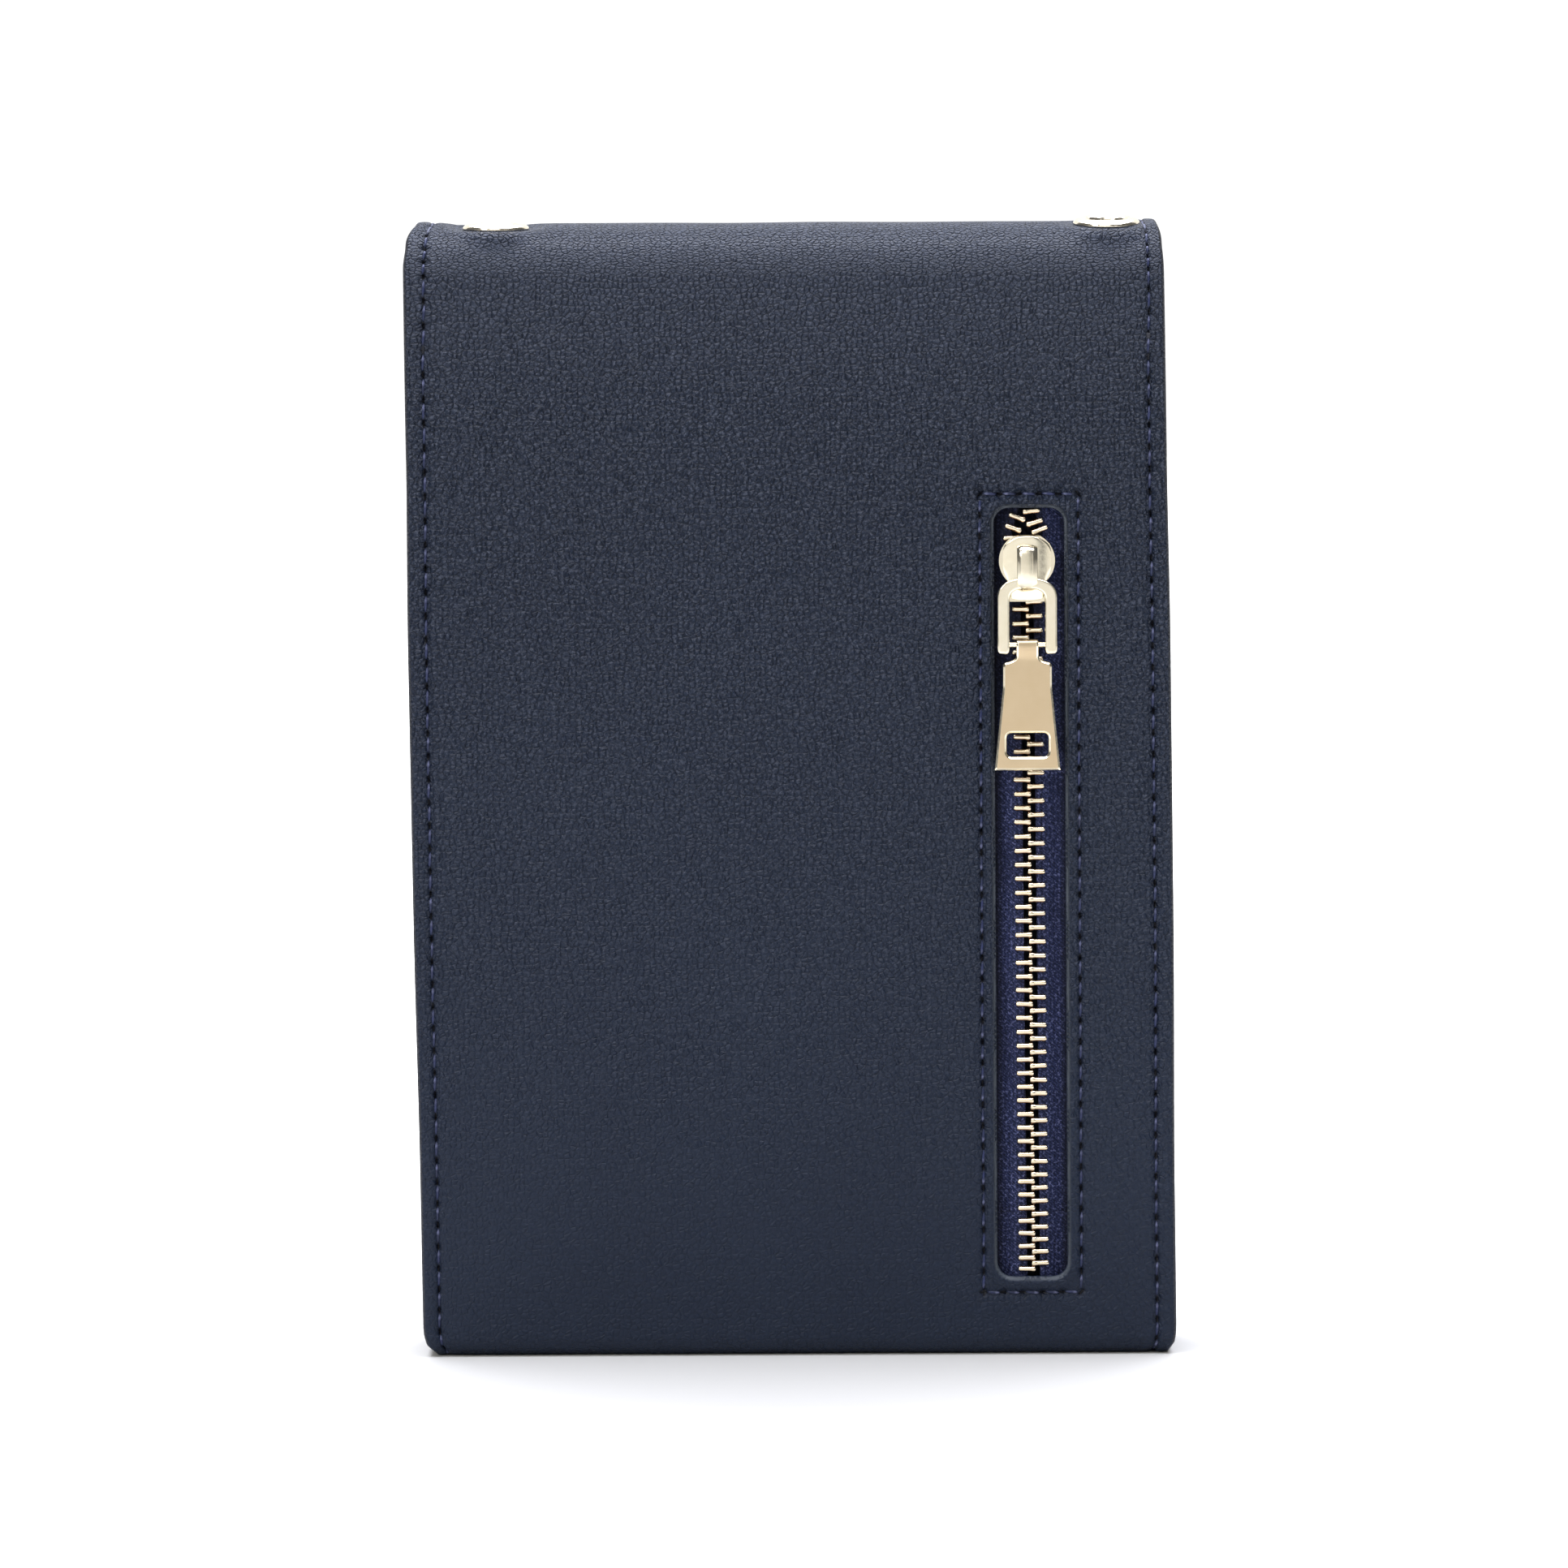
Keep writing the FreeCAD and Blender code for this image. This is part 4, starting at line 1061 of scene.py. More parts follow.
def stitch_batch(batch, holes, surf, normal_at, r=0.215, closed=False, slant=0.06):
    """One arched stitch of thread between each pair of needle holes."""
    n = len(holes)
    for i in range(n - 1):
        p, q = holes[i], holes[i + 1]
        d = q - p
        L = np.hypot(*d)
        t = d / L
        nn = np.array([-t[1], t[0]])
        a = np.array([0.0, 0.03, 0.075, 0.14, 0.24, 0.38, 0.5, 0.62, 0.76, 0.86, 0.925, 0.97, 1.0])
        u0, u1 = 0.17, 0.83
        u = u0 + (u1 - u0) * a
        jig = rng.uniform(-0.035, 0.035)
        off = slant * (1 - 2 * a) + jig
        flat = p + d * u[:, None] + nn * off[:, None]
        lift = -0.36 + (0.40 + rng.uniform(-0.03, 0.03)) * np.sin(np.pi * np.clip(a, 0, 1)) ** 0.40 + 0.10 * np.exp(-((a - 0.80) / 0.13) ** 2)
        rad = r * np.clip(np.sin(np.pi * np.clip(a, 0.02, 0.98)) ** 0.25, 0.35, 1.0)
        c = surf(flat, lift)
        up = normal_at(flat)
        v, f = tube(c, rad, 8, 0.85, up)
        uv = np.zeros((len(v), 2))
        uv[1:-1, 1] = np.repeat(a * 3.0, 8)
        uv[1:-1, 0] = np.tile(np.arange(8) * 0.19, len(a))
        batch.add(v, f, uv)


def surf_leather(flat, lift):
    x, s = flat[:, 0], flat[:, 1]
    h = h_out(x, s) + 0.20 * groove(side_in(x, s) - SEAM, 0.42) * 0.0 + lift
    return place(x, s, h)


def normal_leather(flat):
    y, z, ny, nz = path(flat[:, 1])
    return np.stack([np.zeros_like(ny), ny, nz], 1)


back, xs_edge = leather_back()
flap = leather_flap(xs_edge)
P_A0, P_A1 = (0, YB / 1000, ZT / 1000), (0, (YB + RT) / 1000, H / 1000)
P_B0, P_B1 = (0, (YF - RT) / 1000, H / 1000), (0, YF / 1000, ZT / 1000)
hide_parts("back_panel", "flap_bridge")
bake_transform(back)
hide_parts("flap_leather")
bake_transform(flap)

b = Batch()
stitch_batch(b, holes_left, surf_leather, normal_leather)
stitch_batch(b, holes_right, surf_leather, normal_leather)
o = b.make("stitches_side_seams", THREAD)
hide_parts("side_seam_threads", "flap_bridge_threads")
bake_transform(o)
b = Batch()
stitch_batch(b, holes_win, surf_leather, normal_leather)
o = b.make("stitches_zip_window", THREAD)
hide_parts("zip_window_thread")
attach(o, "case")
b = Batch()
stitch_batch(b, holes_flap, surf_leather, normal_leather)
o = b.make("stitches_flap", THREAD)
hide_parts("flap_thread")
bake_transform(o)


# ---------------------------------------------------------------- linings that follow the roll
def lining_sheet(name, s0, s1, x_in, depth, t, body_a, body_b, start, end, nodes, corner=None):
    """Cloth behind the leather, from s0 to s1, set in from the edges."""
    hw = HW - x_in
    rows = s_rows(s0, s1 if corner is None else s1 - corner)
    xs = np.arange(-hw, hw + 0.01, 2 * hw / 60)
    out_pts = [(-hw, s) for s in rows[::-1]] + [(x, s0) for x in xs[1:-1]] + [(hw, s) for s in rows]
    if corner is None:
        out_pts += [(x, s1) for x in xs[1:-1][::-1]]
    else:
        for i in range(1, 20):
            a = math.radians(90.0 * i / 20)
            out_pts.append((hw - corner + corner * math.cos(a), s1 - corner + corner * math.sin(a)))
        out_pts += [(x, s1) for x in np.arange(hw - corner, -hw + corner, -2.0)] + [(-hw + corner, s1)]
        for i in range(1, 20):
            a = math.radians(90.0 + 90.0 * i / 20)
            out_pts.append((-hw + corner + corner * math.cos(a), s1 - corner + corner * math.sin(a)))
    outline = np.array(out_pts)
    pts = []
    for s in rows[1:-1]:
        pts.append(np.stack([xs[1:-1], np.full(len(xs) - 2, s)], 1))
    for e in (0.15, 0.4, 0.8):
        pts.append(np.stack([np.full(len(rows) - 2, -hw + e), rows[1:-1]], 1))
        pts.append(np.stack([np.full(len(rows) - 2, hw - e), rows[1:-1]], 1))
    eyes = []
    for ex in EYE:
        if s0 < S_EYE - 4 and s1 > S_EYE + 4:
            eyes.append(np.array([(ex + 3.4 * math.cos(a), S_EYE + 3.4 * math.sin(a)) for a in np.linspace(0, 2 * math.pi, 32, endpoint=False)]))
    P = np.vstack(pts)
    for ex in EYE:
        if eyes:
            P = P[np.hypot(P[:, 0] - ex, P[:, 1] - S_EYE) > 3.7]

    def e_of(V):
        e = np.minimum(hw - np.abs(V[:, 0]), np.minimum(V[:, 1] - s0 + 99 * (s0 > S_BACK + 200), 99))
        return np.minimum(e, np.where(V[:, 1] > s1 - 3, s1 - V[:, 1] + (0 if corner is not None else 99), 99))

    def out(V):
        e = np.maximum(e_of(V), 0)
        return place(V[:, 0], V[:, 1], h_low(V[:, 0], V[:, 1]) - depth - edge_drop(e, 0.15))

    def inn(V):
        e = np.maximum(e_of(V), 0)
        return place(V[:, 0], V[:, 1], h_low(V[:, 0], V[:, 1]) - depth - t + edge_drop(e, 0.3) - 0.06 * wobble(V[:, 0] * 3, V[:, 1] * 3))

    o = sheet(name, [outline] + eyes, P, out, inn, LINING)
    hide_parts(*nodes)
    if body_b is None:
        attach(o, body_a)
    else:
        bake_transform(o)
        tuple(start)
        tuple(end)
    return o


lining_sheet("lining_roll", s_back(148.5), S_SPLIT, 0.9, T + 0.05, 0.65, "case", "flap_top", P_A0, P_A1, ["flap_bridge_lining"])
lining_sheet("lining_flap", S_SPLIT, S_END - 0.9, 0.9, T + 0.05, 0.65, "flap_top", "flap", P_B0, P_B1, ["flap_lining"], corner=11.1)


# ---------------------------------------------------------------- flat leather and cloth pieces inside
def flat_panel(name, x0, x1, z0, z1, y_at, face, t, mat, node, seams=(), corner=0.0, notch=None, holes=(), pits=None,
               edge_r=0.45, lean_on=True, back_mat=None, fine=1.6, top_curve=0.0):
    """An upright sheet between x0..x1 and z0..z1.  face is +1 when its good side looks to +Y, -1 to -Y.
    y_at gives the good side's y at each (x, z)."""
    top = []
    loop = [(x0, z0), (x1, z0)]
    if notch is None:
        loop += [(x1, z1), (x0, z1)]
    else:
        cx, cz, r = notch
        loop.append((x1, z1))
        half = math.sqrt(max(r * r - (cz - z1) ** 2, 0))
        a0 = math.atan2(z1 - cz, half)
        for i in range(25):
            a = a0 + (-math.pi - 2 * a0) * i / 24.0
            loop.append((cx + r * math.cos(a), cz + r * math.sin(a)))
        loop.append((x0, z1))
    outline = resample(ccw(np.array(loop)), 1.0)
    pts = []
    for d in (0.08, 0.2, 0.35, 0.5, 0.8):
        pts += offsets(outline, [d])
    P1 = np.vstack(pts)
    gx, gz = np.meshgrid(np.arange(x0 + 1.2, x1 - 1.0, fine), np.arange(z0 + 1.2, z1 - 1.0, fine))
    G = np.stack([gx.ravel(), gz.ravel()], 1)
    loops = [outline] + [np.array([(cx + r * math.cos(a), cz + r * math.sin(a)) for a in np.linspace(0, 2 * math.pi, 32, endpoint=False)]) for cx, cz, r in holes]
    extra = []
    hl = np.zeros((0, 2)) if pits is None else pits
    lines = []
    for run in seams:
        run = np.asarray(run, float)
        for p, q in zip(run, run[1:]):
            n = max(1, int(np.hypot(*(q - p)) / 0.9))
            t2 = (q - p) / np.hypot(*(q - p))
            nn = np.array([-t2[1], t2[0]])
            for o2 in (-0.7, -0.4, -0.2, 0, 0.2, 0.4, 0.7):
                extra.append(np.array([p + (q - p) * i / n + nn * o2 for i in range(n + 1)]))
            lines.append((p, q))
    P = np.vstack([P1, G] + extra)
    P = P[inside(P, outline)]
    d_edge = poly_dist(P, [outline])
    P = P[d_edge > 0.06]
    if notch is not None:
        P = P[np.hypot(P[:, 0] - notch[0], P[:, 1] - notch[1]) > notch[2] + 0.05]
    if len(hl):
        near = np.zeros(len(P), bool)
        for p in hl:
            near |= np.hypot(P[:, 0] - p[0], P[:, 1] - p[1]) < 0.45
        P = np.vstack([P[~near], pit_points(hl)])
    for cx, cz, r in holes:
        P = P[np.hypot(P[:, 0] - cx, P[:, 1] - cz) > r + 0.2]

    def seam_d(V):
        d = np.full(len(V), 99.0)
        for p, q in lines:
            v = q - p
            t2 = np.clip(((V - p) @ v) / float(v @ v), 0, 1)
            d = np.minimum(d, np.hypot(*(V - p - t2[:, None] * v).T))
        return d

    def out(V):
        e = poly_dist(V, [outline])
        y = y_at(V[:, 0], V[:, 1]) - face * (edge_drop(e, edge_r) + 0.16 * groove(seam_d(V), 0.38) + 0.32 * pit_field(V, hl))
        return np.stack([V[:, 0] + (lean(V[:, 0], V[:, 1]) if lean_on else 0), y, V[:, 1]], 1)

    def inn(V):
        e = poly_dist(V, [outline])
        y = y_at(V[:, 0], V[:, 1]) - face * (t - edge_drop(e, min(edge_r, t * 0.45)))
        return np.stack([V[:, 0] + (lean(V[:, 0], V[:, 1]) if lean_on else 0), y, V[:, 1]], 1)

    o = sheet(name, loops, P, out, inn, mat,
              attrs={"edge": lambda V: 1 - smooth(0.1, 0.5, poly_dist(V, [outline])), "lip": lambda V: np.zeros(len(V)),
                     "pit": lambda V: (np.clip(pit_field(V, hl) * 1.3, 0, 1), np.zeros(len(V)))},
              mats=[mat, back_mat or mat], face_mat=(0, 1, 0))
    if node:
        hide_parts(node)
    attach(o, "case")

    def surf(flat, lift):
        x, z = flat[:, 0], flat[:, 1]
        y = y_at(x, z) + face * (lift - 0.16)
        return np.stack([x + (lean(x, z) if lean_on else 0), y, z], 1)

    return o, surf


# front wall, with its seam up both sides and along the top edge
fz0, fz1 = 9.05, 150.0
fseam = [(-sx, fz0 + 0.8), (-sx, fz1 - 2.6), (sx, fz1 - 2.6), (sx, fz0 + 0.8)]
h1 = stitch_run(fseam[:2], 3.2)
h2 = stitch_run(fseam[1:3], 3.2)
h3 = stitch_run(fseam[2:], 3.2)
holes_front = np.vstack([h1, h2[1:], h3[1:]])
o, surf = flat_panel("front_wall", -HW + 0.05, HW - 0.05, fz0, fz1,
                     lambda x, z: CASE_F + 0.28 * smooth(0, 40, HW - np.abs(x)) * smooth(0, 30, z - 6) * smooth(0, 40, 152 - z) * (1 - np.exp(-(((x) ** 2 + (z - SNAP_Z) ** 2) / 400.0))),
                     1, 1.2, LEATHER, "front_panel", seams=[fseam], pits=holes_front, back_mat=SUEDE,
                     holes=[(0.0, SNAP_Z, 1.5)])
b = Batch()
stitch_batch(b, holes_front, surf, lambda f: np.tile([0.0, 1.0, 0.0], (len(f), 1)))
o = b.make("stitches_front_wall", THREAD)
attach(o, "case")

# linings, pockets
LX = 49.7


def slump(a, k=1.0):
    return lambda x, z: a + k * 0.10 * wobble(np.asarray(x) * 1.3 + a * 7, np.asarray(z) * 1.1)


flat_panel("lining_front", -LX, LX, 3.2, 149.0, lambda x, z: 5.9 + 0.0 * x, -1, 0.55, LINING, "front_lining", edge_r=0.22, fine=4.0, holes=[])
ps = [(-47.6, 102.3), (-16.5, 102.3)], [(16.5, 102.3), (47.6, 102.3)]
flat_panel("passport_pocket_sleeve", -LX, LX, 3.2, 104.0, slump(0.7, 1.0), -1, 0.7, LEATHER_IN, "passport_pocket",
           edge_r=0.3, fine=3.0, notch=(0.0, 112.0, 16.0), seams=ps)


def card(name, z0, z1, node):
    line = [(-44.0, z1 - 1.6), (44.0, z1 - 1.6)]
    pits = stitch_run(line, 2.8)
    o, surf = flat_panel(name, -46.0, 46.0, z0, z1, lambda x, z: -3.7 + 0.06 * wobble(x * 1.2 + z0, z) * smooth(0, 8, z1 - z), 1, 0.68, LEATHER_IN, node,
                         edge_r=0.3, fine=3.0, seams=[line], pits=pits)
    b = Batch()
    stitch_batch(b, pits, surf, lambda f: np.tile([0.0, 1.0, 0.0], (len(f), 1)), r=0.2)
    s = b.make(name + "_stitches", THREAD)
    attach(s, "case")


card("card_slot_low", 12.0, 57.9, "card_pocket_lower")
card("card_slot_mid", 58.1, 75.9, "card_pocket_middle")
card("card_slot_top", 76.1, 94.0, "card_pocket_upper")


def back_lining_y(x, z):
    """Leaves the pocket and meets the back leather near the roll."""
    near = YB + T + 0.72 - h_low(np.zeros_like(np.asarray(z, float)), s_back(z))
    return np.where(z < 141.5, -4.42, -4.42 + (near + 4.42) * smooth(141.5, 151.0, z))


flat_panel("lining_back", -LX, LX, 3.2, 156.0, back_lining_y, 1, 0.5, LINING, "back_lining", edge_r=0.2, fine=3.0)


def bottom():
    outline = resample(np.array([(-LX, -4.2), (LX, -4.2), (LX, 5.6), (-LX, 5.6)]), 1.2)
    gx, gy = np.meshgrid(np.arange(-LX + 1.2, LX - 1, 3.0), np.arange(-3.2, 5.0, 1.2))
    P = np.stack([gx.ravel(), gy.ravel()], 1)
    f = lambda zz, sg: (lambda V: np.stack([V[:, 0] + lean(V[:, 0], V[:, 0] * 0 + 2), V[:, 1], zz + 0.05 * wobble(V[:, 0], V[:, 1] * 4) - sg * edge_drop(poly_dist(V, [outline]), 0.25)], 1))
    o = sheet("lining_floor", [outline], P, f(2.6, 1), f(2.0, -1), LINING)
    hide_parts("bottom_lining")
    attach(o, "case")


bottom()


def bag():
    """The zip pocket's cloth bag, open towards the zip, slack and a little creased."""
    bl, bh = node_box("zip_pocket_bag")
    x0, x1, z0, z1 = bl[0], bh[0], bl[2], bh[2]
    outline = resample(np.array([(x0, z0), (x1, z0), (x1, z1), (x0, z1)]), 1.5)
    pts = []
    for d in (0.2, 0.5, 0.9, 1.4, 2.0, 3.0):
        pts += offsets(ccw(outline), [d])
    gx, gz = np.meshgrid(np.arange(x0 + 4, x1 - 3.5, 2.4), np.arange(z0 + 4, z1 - 3.5, 2.4))
    P = np.vstack(pts + [np.stack([gx.ravel(), gz.ravel()], 1)])
    P = P[inside(P, ccw(outline))]

    def depth(V):
        e = poly_dist(V, [outline])
        k = np.sqrt(np.clip(1 - (1 - np.clip(e / 3.2, 0, 1)) ** 2, 0, 1))
        return k, e

    def out(V):
        k, e = depth(V)
        y = -10.65 + 5.5 * k - 0.12 * np.abs(wobble(V[:, 0] * 1.8, V[:, 1] * 1.8)) * smooth(0, 6, e)
        return np.stack([V[:, 0], y, V[:, 1]], 1)

    def inn(V):
        k, e = depth(V)
        y = -10.68 + 5.02 * k - 0.14 * np.abs(wobble(V[:, 0] * 1.8, V[:, 1] * 1.8)) * smooth(0, 6, e)
        sc = np.clip(e, 0, 0.5)
        c = np.array([(x0 + x1) / 2, (z0 + z1) / 2])
        v = c - V
        v /= np.maximum(np.hypot(*v.T), 1e-6)[:, None]
        Q = V + v * (0.45 * (1 - smooth(1.0, 4.0, e)))[:, None]
        return np.stack([Q[:, 0], y, Q[:, 1]], 1)

    o = sheet("zip_pocket_lining", [outline], P, out, inn, LINING)
    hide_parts("zip_pocket_bag")
    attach(o, "case")


bag()


# ---------------------------------------------------------------- side gussets: a soft web between turned-out edges
def gusset(side, node):
    y0, y1, z0, z1 = YB + T + 0.02, CASE_F - 1.2 - 0.02, 1.35, 150.8
    r = 1.6
    loop = [(y0, z1), (y0, z0 + r)]
    for i in range(1, 8):
        a = math.radians(180 + 90 * i / 8.0)
        loop.append((y0 + r + r * math.cos(a), z0 + r + r * math.sin(a)))
    loop += [(y0 + r, z0), (y1 - r, z0)]
    for i in range(1, 8):
        a = math.radians(270 + 90 * i / 8.0)
        loop.append((y1 - r + r * math.cos(a), z0 + r + r * math.sin(a)))
    loop += [(y1, z0 + r), (y1, z1)]
    outline = resample(ccw(np.array(loop)), 0.9)
    run = resample(np.array(loop), 0.9)
    # the open run, without the top edge, is what the rim follows
    U = np.array(loop)

    def d_run(V):
        d = np.full(len(V), 1e9)
        for p, q in zip(U, U[1:]):
            v = q - p
            t = np.clip(((V - p) @ v) / float(v @ v), 0, 1)
            d = np.minimum(d, np.hypot(*(V - p - t[:, None] * v).T))
        return d

    pts = []
    for d in (0.1, 0.25, 0.45, 0.65, 0.82, 0.92, 1.0, 1.06, 1.12, 1.2, 1.32, 1.5, 1.8, 2.3, 3.0):
        pts += offsets(outline, [d])
    gy, gz = np.meshgrid(np.arange(y0 + 3.6, y1 - 3.4, 0.9), np.arange(z0 + 3.6, z1 - 0.3, 1.6))
    P = np.vstack(pts + [np.stack([gy.ravel(), gz.ravel()], 1)])
    P = P[inside(P, outline)]
    # offset points made by the top edge are dropped
    P = P[(P[:, 1] < z1 - 0.2)]
    P = P[poly_dist(P, [outline]) > 0.05]
    rim = HW - 0.42

    def web(V):
        y, z = V[:, 0], V[:, 1]
        mid = np.clip(1 - ((y - (y0 + y1) / 2) / ((y1 - y0) / 2 - 1.2)) ** 2, 0, 1)
        fold = 0.85 * mid ** 1.5 * (0.55 + 0.45 * smooth(5, 40, z)) + 0.10 * wobble(y * 2.5 + side, z * 1.6) * mid
        top = smooth(120, z1, z)
        return 51.05 - fold * (1 - 0.35 * top)

    def out(V):
        d = d_run(V)
        w = web(V)
        wall = 1 - smooth(0.90, 1.35, d)
        x = w + (rim - w) * wall - edge_drop(d, 0.35) * (d < 0.4)
        x = x - 0.18 * groove(d - 1.6, 0.5)
        return np.stack([side * x + lean(side * x, V[:, 1]), V[:, 0], V[:, 1]], 1)

    def inn(V):
        d = d_run(V)
        w = web(V) - 1.0
        x = w - 0.0 * d
        return np.stack([side * x + lean(side * x, V[:, 1]), V[:, 0], V[:, 1]], 1)

    o = sheet("gusset_" + ("right" if side > 0 else "left") + "_fold", [outline], P, out, inn, LEATHER,
              attrs={"edge": lambda V: 1 - smooth(0.55, 0.95, d_run(V)), "lip": lambda V: np.zeros(len(V)), "pit": lambda V: np.zeros(len(V))})
    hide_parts(node)
    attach(o, "case")


gusset(1, "gusset_right")
gusset(-1, "gusset_left")

# ---------------------------------------------------------------- zip: tapes and teeth
CHAIN_X, CHAIN_LEAN = 34.72, 0.008
TOOTH_PITCH, TOOTH_T = 2.06, 0.88
OPEN_Z = 21.0        # teeth and tapes above here go into separate meshes


def chain_x(z):
    return CHAIN_X + CHAIN_LEAN * (118.0 - np.asarray(z, float))


def tape(name, side, z0, z1, top_splay):
    """One tape: a thin knitted band with a cord along its inner edge."""
    xo = 22.0 if side < 0 else 48.4
    def inner(z):
        sp = 1.15 * smooth(113.8, 117.6, z) * (1 - smooth(121.0, 126.5, z)) * top_splay
        return chain_x(z) + side * (0.95 + sp)
    rows = np.arange(z0, z1 + 0.01, (z1 - z0) / max(2, int((z1 - z0) / 0.8)))
    us = np.concatenate([np.linspace(0, 1.4, 15), np.linspace(1.6, 12.5, 24)])
    verts, uv = [], []
    for z in rows:
        xi = float(inner(z))
        span = abs(xo - xi)
        for u in us:
            uu = u / 12.5 * span if u > 1.4 else u
            x = xi + side * uu
            bead = 0.26 * math.sqrt(max(0.0, 1 - ((u - 0.42) / 0.46) ** 2)) if abs(u - 0.42) < 0.46 else 0.0
            ridge = 0.10 * math.exp(-((u - 1.75) / 0.16) ** 2) + 0.05 * math.exp(-((u - 3.6) / 0.2) ** 2)
            sag = 0.12 * math.sin(z * 0.11 + side) + 0.10 * math.sin(z * 0.043 + 2)
            yc = -10.42 + sag * 0.5 + 1.05 * float(smooth(1.0, 3.6, u))
            verts.append((x, yc - 0.14 - bead - ridge, z))
            verts.append((x, yc + 0.14 + bead * 0.8, z))
            uv.append((x * 1.0, z))
            uv.append((x * 1.0, z))
    n, k = len(us), 2
    faces = []
    idx = lambda i, j, f: (i * n + j) * 2 + f
    for i in range(len(rows) - 1):
        for j in range(n - 1):
            faces.append([idx(i, j, 0), idx(i, j + 1, 0), idx(i + 1, j + 1, 0), idx(i + 1, j, 0)])
            faces.append([idx(i, j, 1), idx(i + 1, j, 1), idx(i + 1, j + 1, 1), idx(i, j + 1, 1)])
        faces.append([idx(i, 0, 1), idx(i, 0, 0), idx(i + 1, 0, 0), idx(i + 1, 0, 1)])
        faces.append([idx(i, n - 1, 0), idx(i, n - 1, 1), idx(i + 1, n - 1, 1), idx(i + 1, n - 1, 0)])
    for j in range(n - 1):
        faces.append([idx(0, j, 0), idx(0, j, 1), idx(0, j + 1, 1), idx(0, j + 1, 0)])
        i = len(rows) - 1
        faces.append([idx(i, j, 0), idx(i, j + 1, 0), idx(i, j + 1, 1), idx(i, j, 1)])
    if side < 0:
        faces = [f[::-1] for f in faces]
    o = add_object(name, np.array(verts), faces, TAPE, uv=np.array(uv))
    return o


def tooth_shape(side, z, shift, tilt):
    """A metal tooth: a rounded bar with a fuller head where the rows lock."""
    c = float(chain_x(z))
    st = [(-0.27, 0.66), (-0.23, 0.92), (-0.15, 1.10), (-0.02, 1.16), (0.16, 1.16), (0.28, 1.10), (0.42, 1.00), (0.6, 0.96), (0.85, 0.96), (1.5, 0.99), (1.95, 1.00), (2.10, 0.94), (2.20, 0.78), (2.25, 0.55)]
    ring = []
    m = 16
    for k in range(m):
        a = 2 * math.pi * (k + 0.5) / m
        ca, sa = math.cos(a), math.sin(a)
        rr = (abs(ca) ** 3.4 + abs(sa) ** 3.4) ** (-1 / 3.4)
        ring.append((rr * ca, rr * sa))
    verts = []
    rot = math.radians(tilt) * side
    for u, k in st:
        for a, bb in ring:
            zz = a * 0.44 * k
            yy = -10.35 + bb * 1.2 * (0.82 + 0.18 * k)
            x = u * side
            xr = x * math.cos(rot) + zz * math.sin(rot)
            zr = -x * math.sin(rot) + zz * math.cos(rot)
            verts.append((c + xr + side * shift, yy, z + zr))
    faces = []
    n = len(st)
    for i in range(n - 1):
        for k in range(m):
            faces.append([i * m + k, i * m + (k + 1) % m, (i + 1) * m + (k + 1) % m, (i + 1) * m + k])
    faces.append([k for k in range(m)][::-1])
    faces.append([(n - 1) * m + k for k in range(m)])
    if side < 0:
        faces = [f[::-1] for f in faces]
    v = np.array(verts)
    return v, faces, v[:, [0, 2]]


teeth = {("left", 0): Batch(), ("left", 1): Batch(), ("right", 0): Batch(), ("right", 1): Batch()}


def put_tooth(side, z, shift, tilt):
    key = ("left" if side < 0 else "right", 0 if z < OPEN_Z else 1)
    v, f, uv = tooth_shape(side, z, shift, tilt)
    teeth[key].add(v, f, uv)


def pitch_at(z):
    return float(np.interp(z, [12, 17, 24, 35, 55, 75, 120], [1.62, 1.86, 1.97, 2.025, 2.055, 2.085, 2.10]))


zs_l = [85.28]
while zs_l[-1] < 119.2:
    zs_l.append(zs_l[-1] + pitch_at(zs_l[-1] + 1))
while zs_l[0] > SLOT_Z0 + 1.6:
    zs_l.insert(0, zs_l[0] - pitch_at(zs_l[0] - 1))
for k, z in enumerate(zs_l):
    jx = rng.uniform(-0.03, 0.03)
    put_tooth(-1, z, 1.2 * float(smooth(113.8, 117.8, z)) + jx, rng.uniform(-2.0, 2.0))
    zr = z + pitch_at(z) * 0.52
    if zr < 120.7:
        put_tooth(1, zr, 1.2 * float(smooth(113.8, 117.8, zr)) + jx, rng.uniform(-2.0, 2.0))
put_tooth(-1, 121.95, 1.00, -20.0)
put_tooth(-1, 123.55, 0.42, -21.0)
put_tooth(1, 121.65, 1.0, -22.0)
put_tooth(1, 122.85, 0.25, -17.0)
put_tooth(1, 124.72, -0.25, -5.0)

anchor_l = (SLOT_X - SLOT_HX - 0.3) / 1000.0
anchor_r = (SLOT_X + SLOT_HX + 0.3) / 1000.0
for side, nm, anc, tape_node, teeth_node in ((-1, "left", anchor_l, "zipper_tape_left", "zipper_teeth_left"), (1, "right", anchor_r, "zipper_tape_right", "zipper_teeth_right")):
    low = teeth[(nm, 0)].make("teeth_" + nm + "_lower", GOLD_TEETH)
    high = teeth[(nm, 1)].make("teeth_" + nm + "_upper", GOLD_TEETH)
    tl = tape("tape_" + nm + "_lower", side, 6.2, OPEN_Z, 0.0)
    th = tape("tape_" + nm + "_upper", side, OPEN_Z, 139.0, 1.0)
    for q in (low, high):
        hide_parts(teeth_node)
        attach(q, "case")
    for q in (tl, th):
        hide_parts(tape_node)
        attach(q, "case")
    for q in (high, th):
        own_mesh(q)


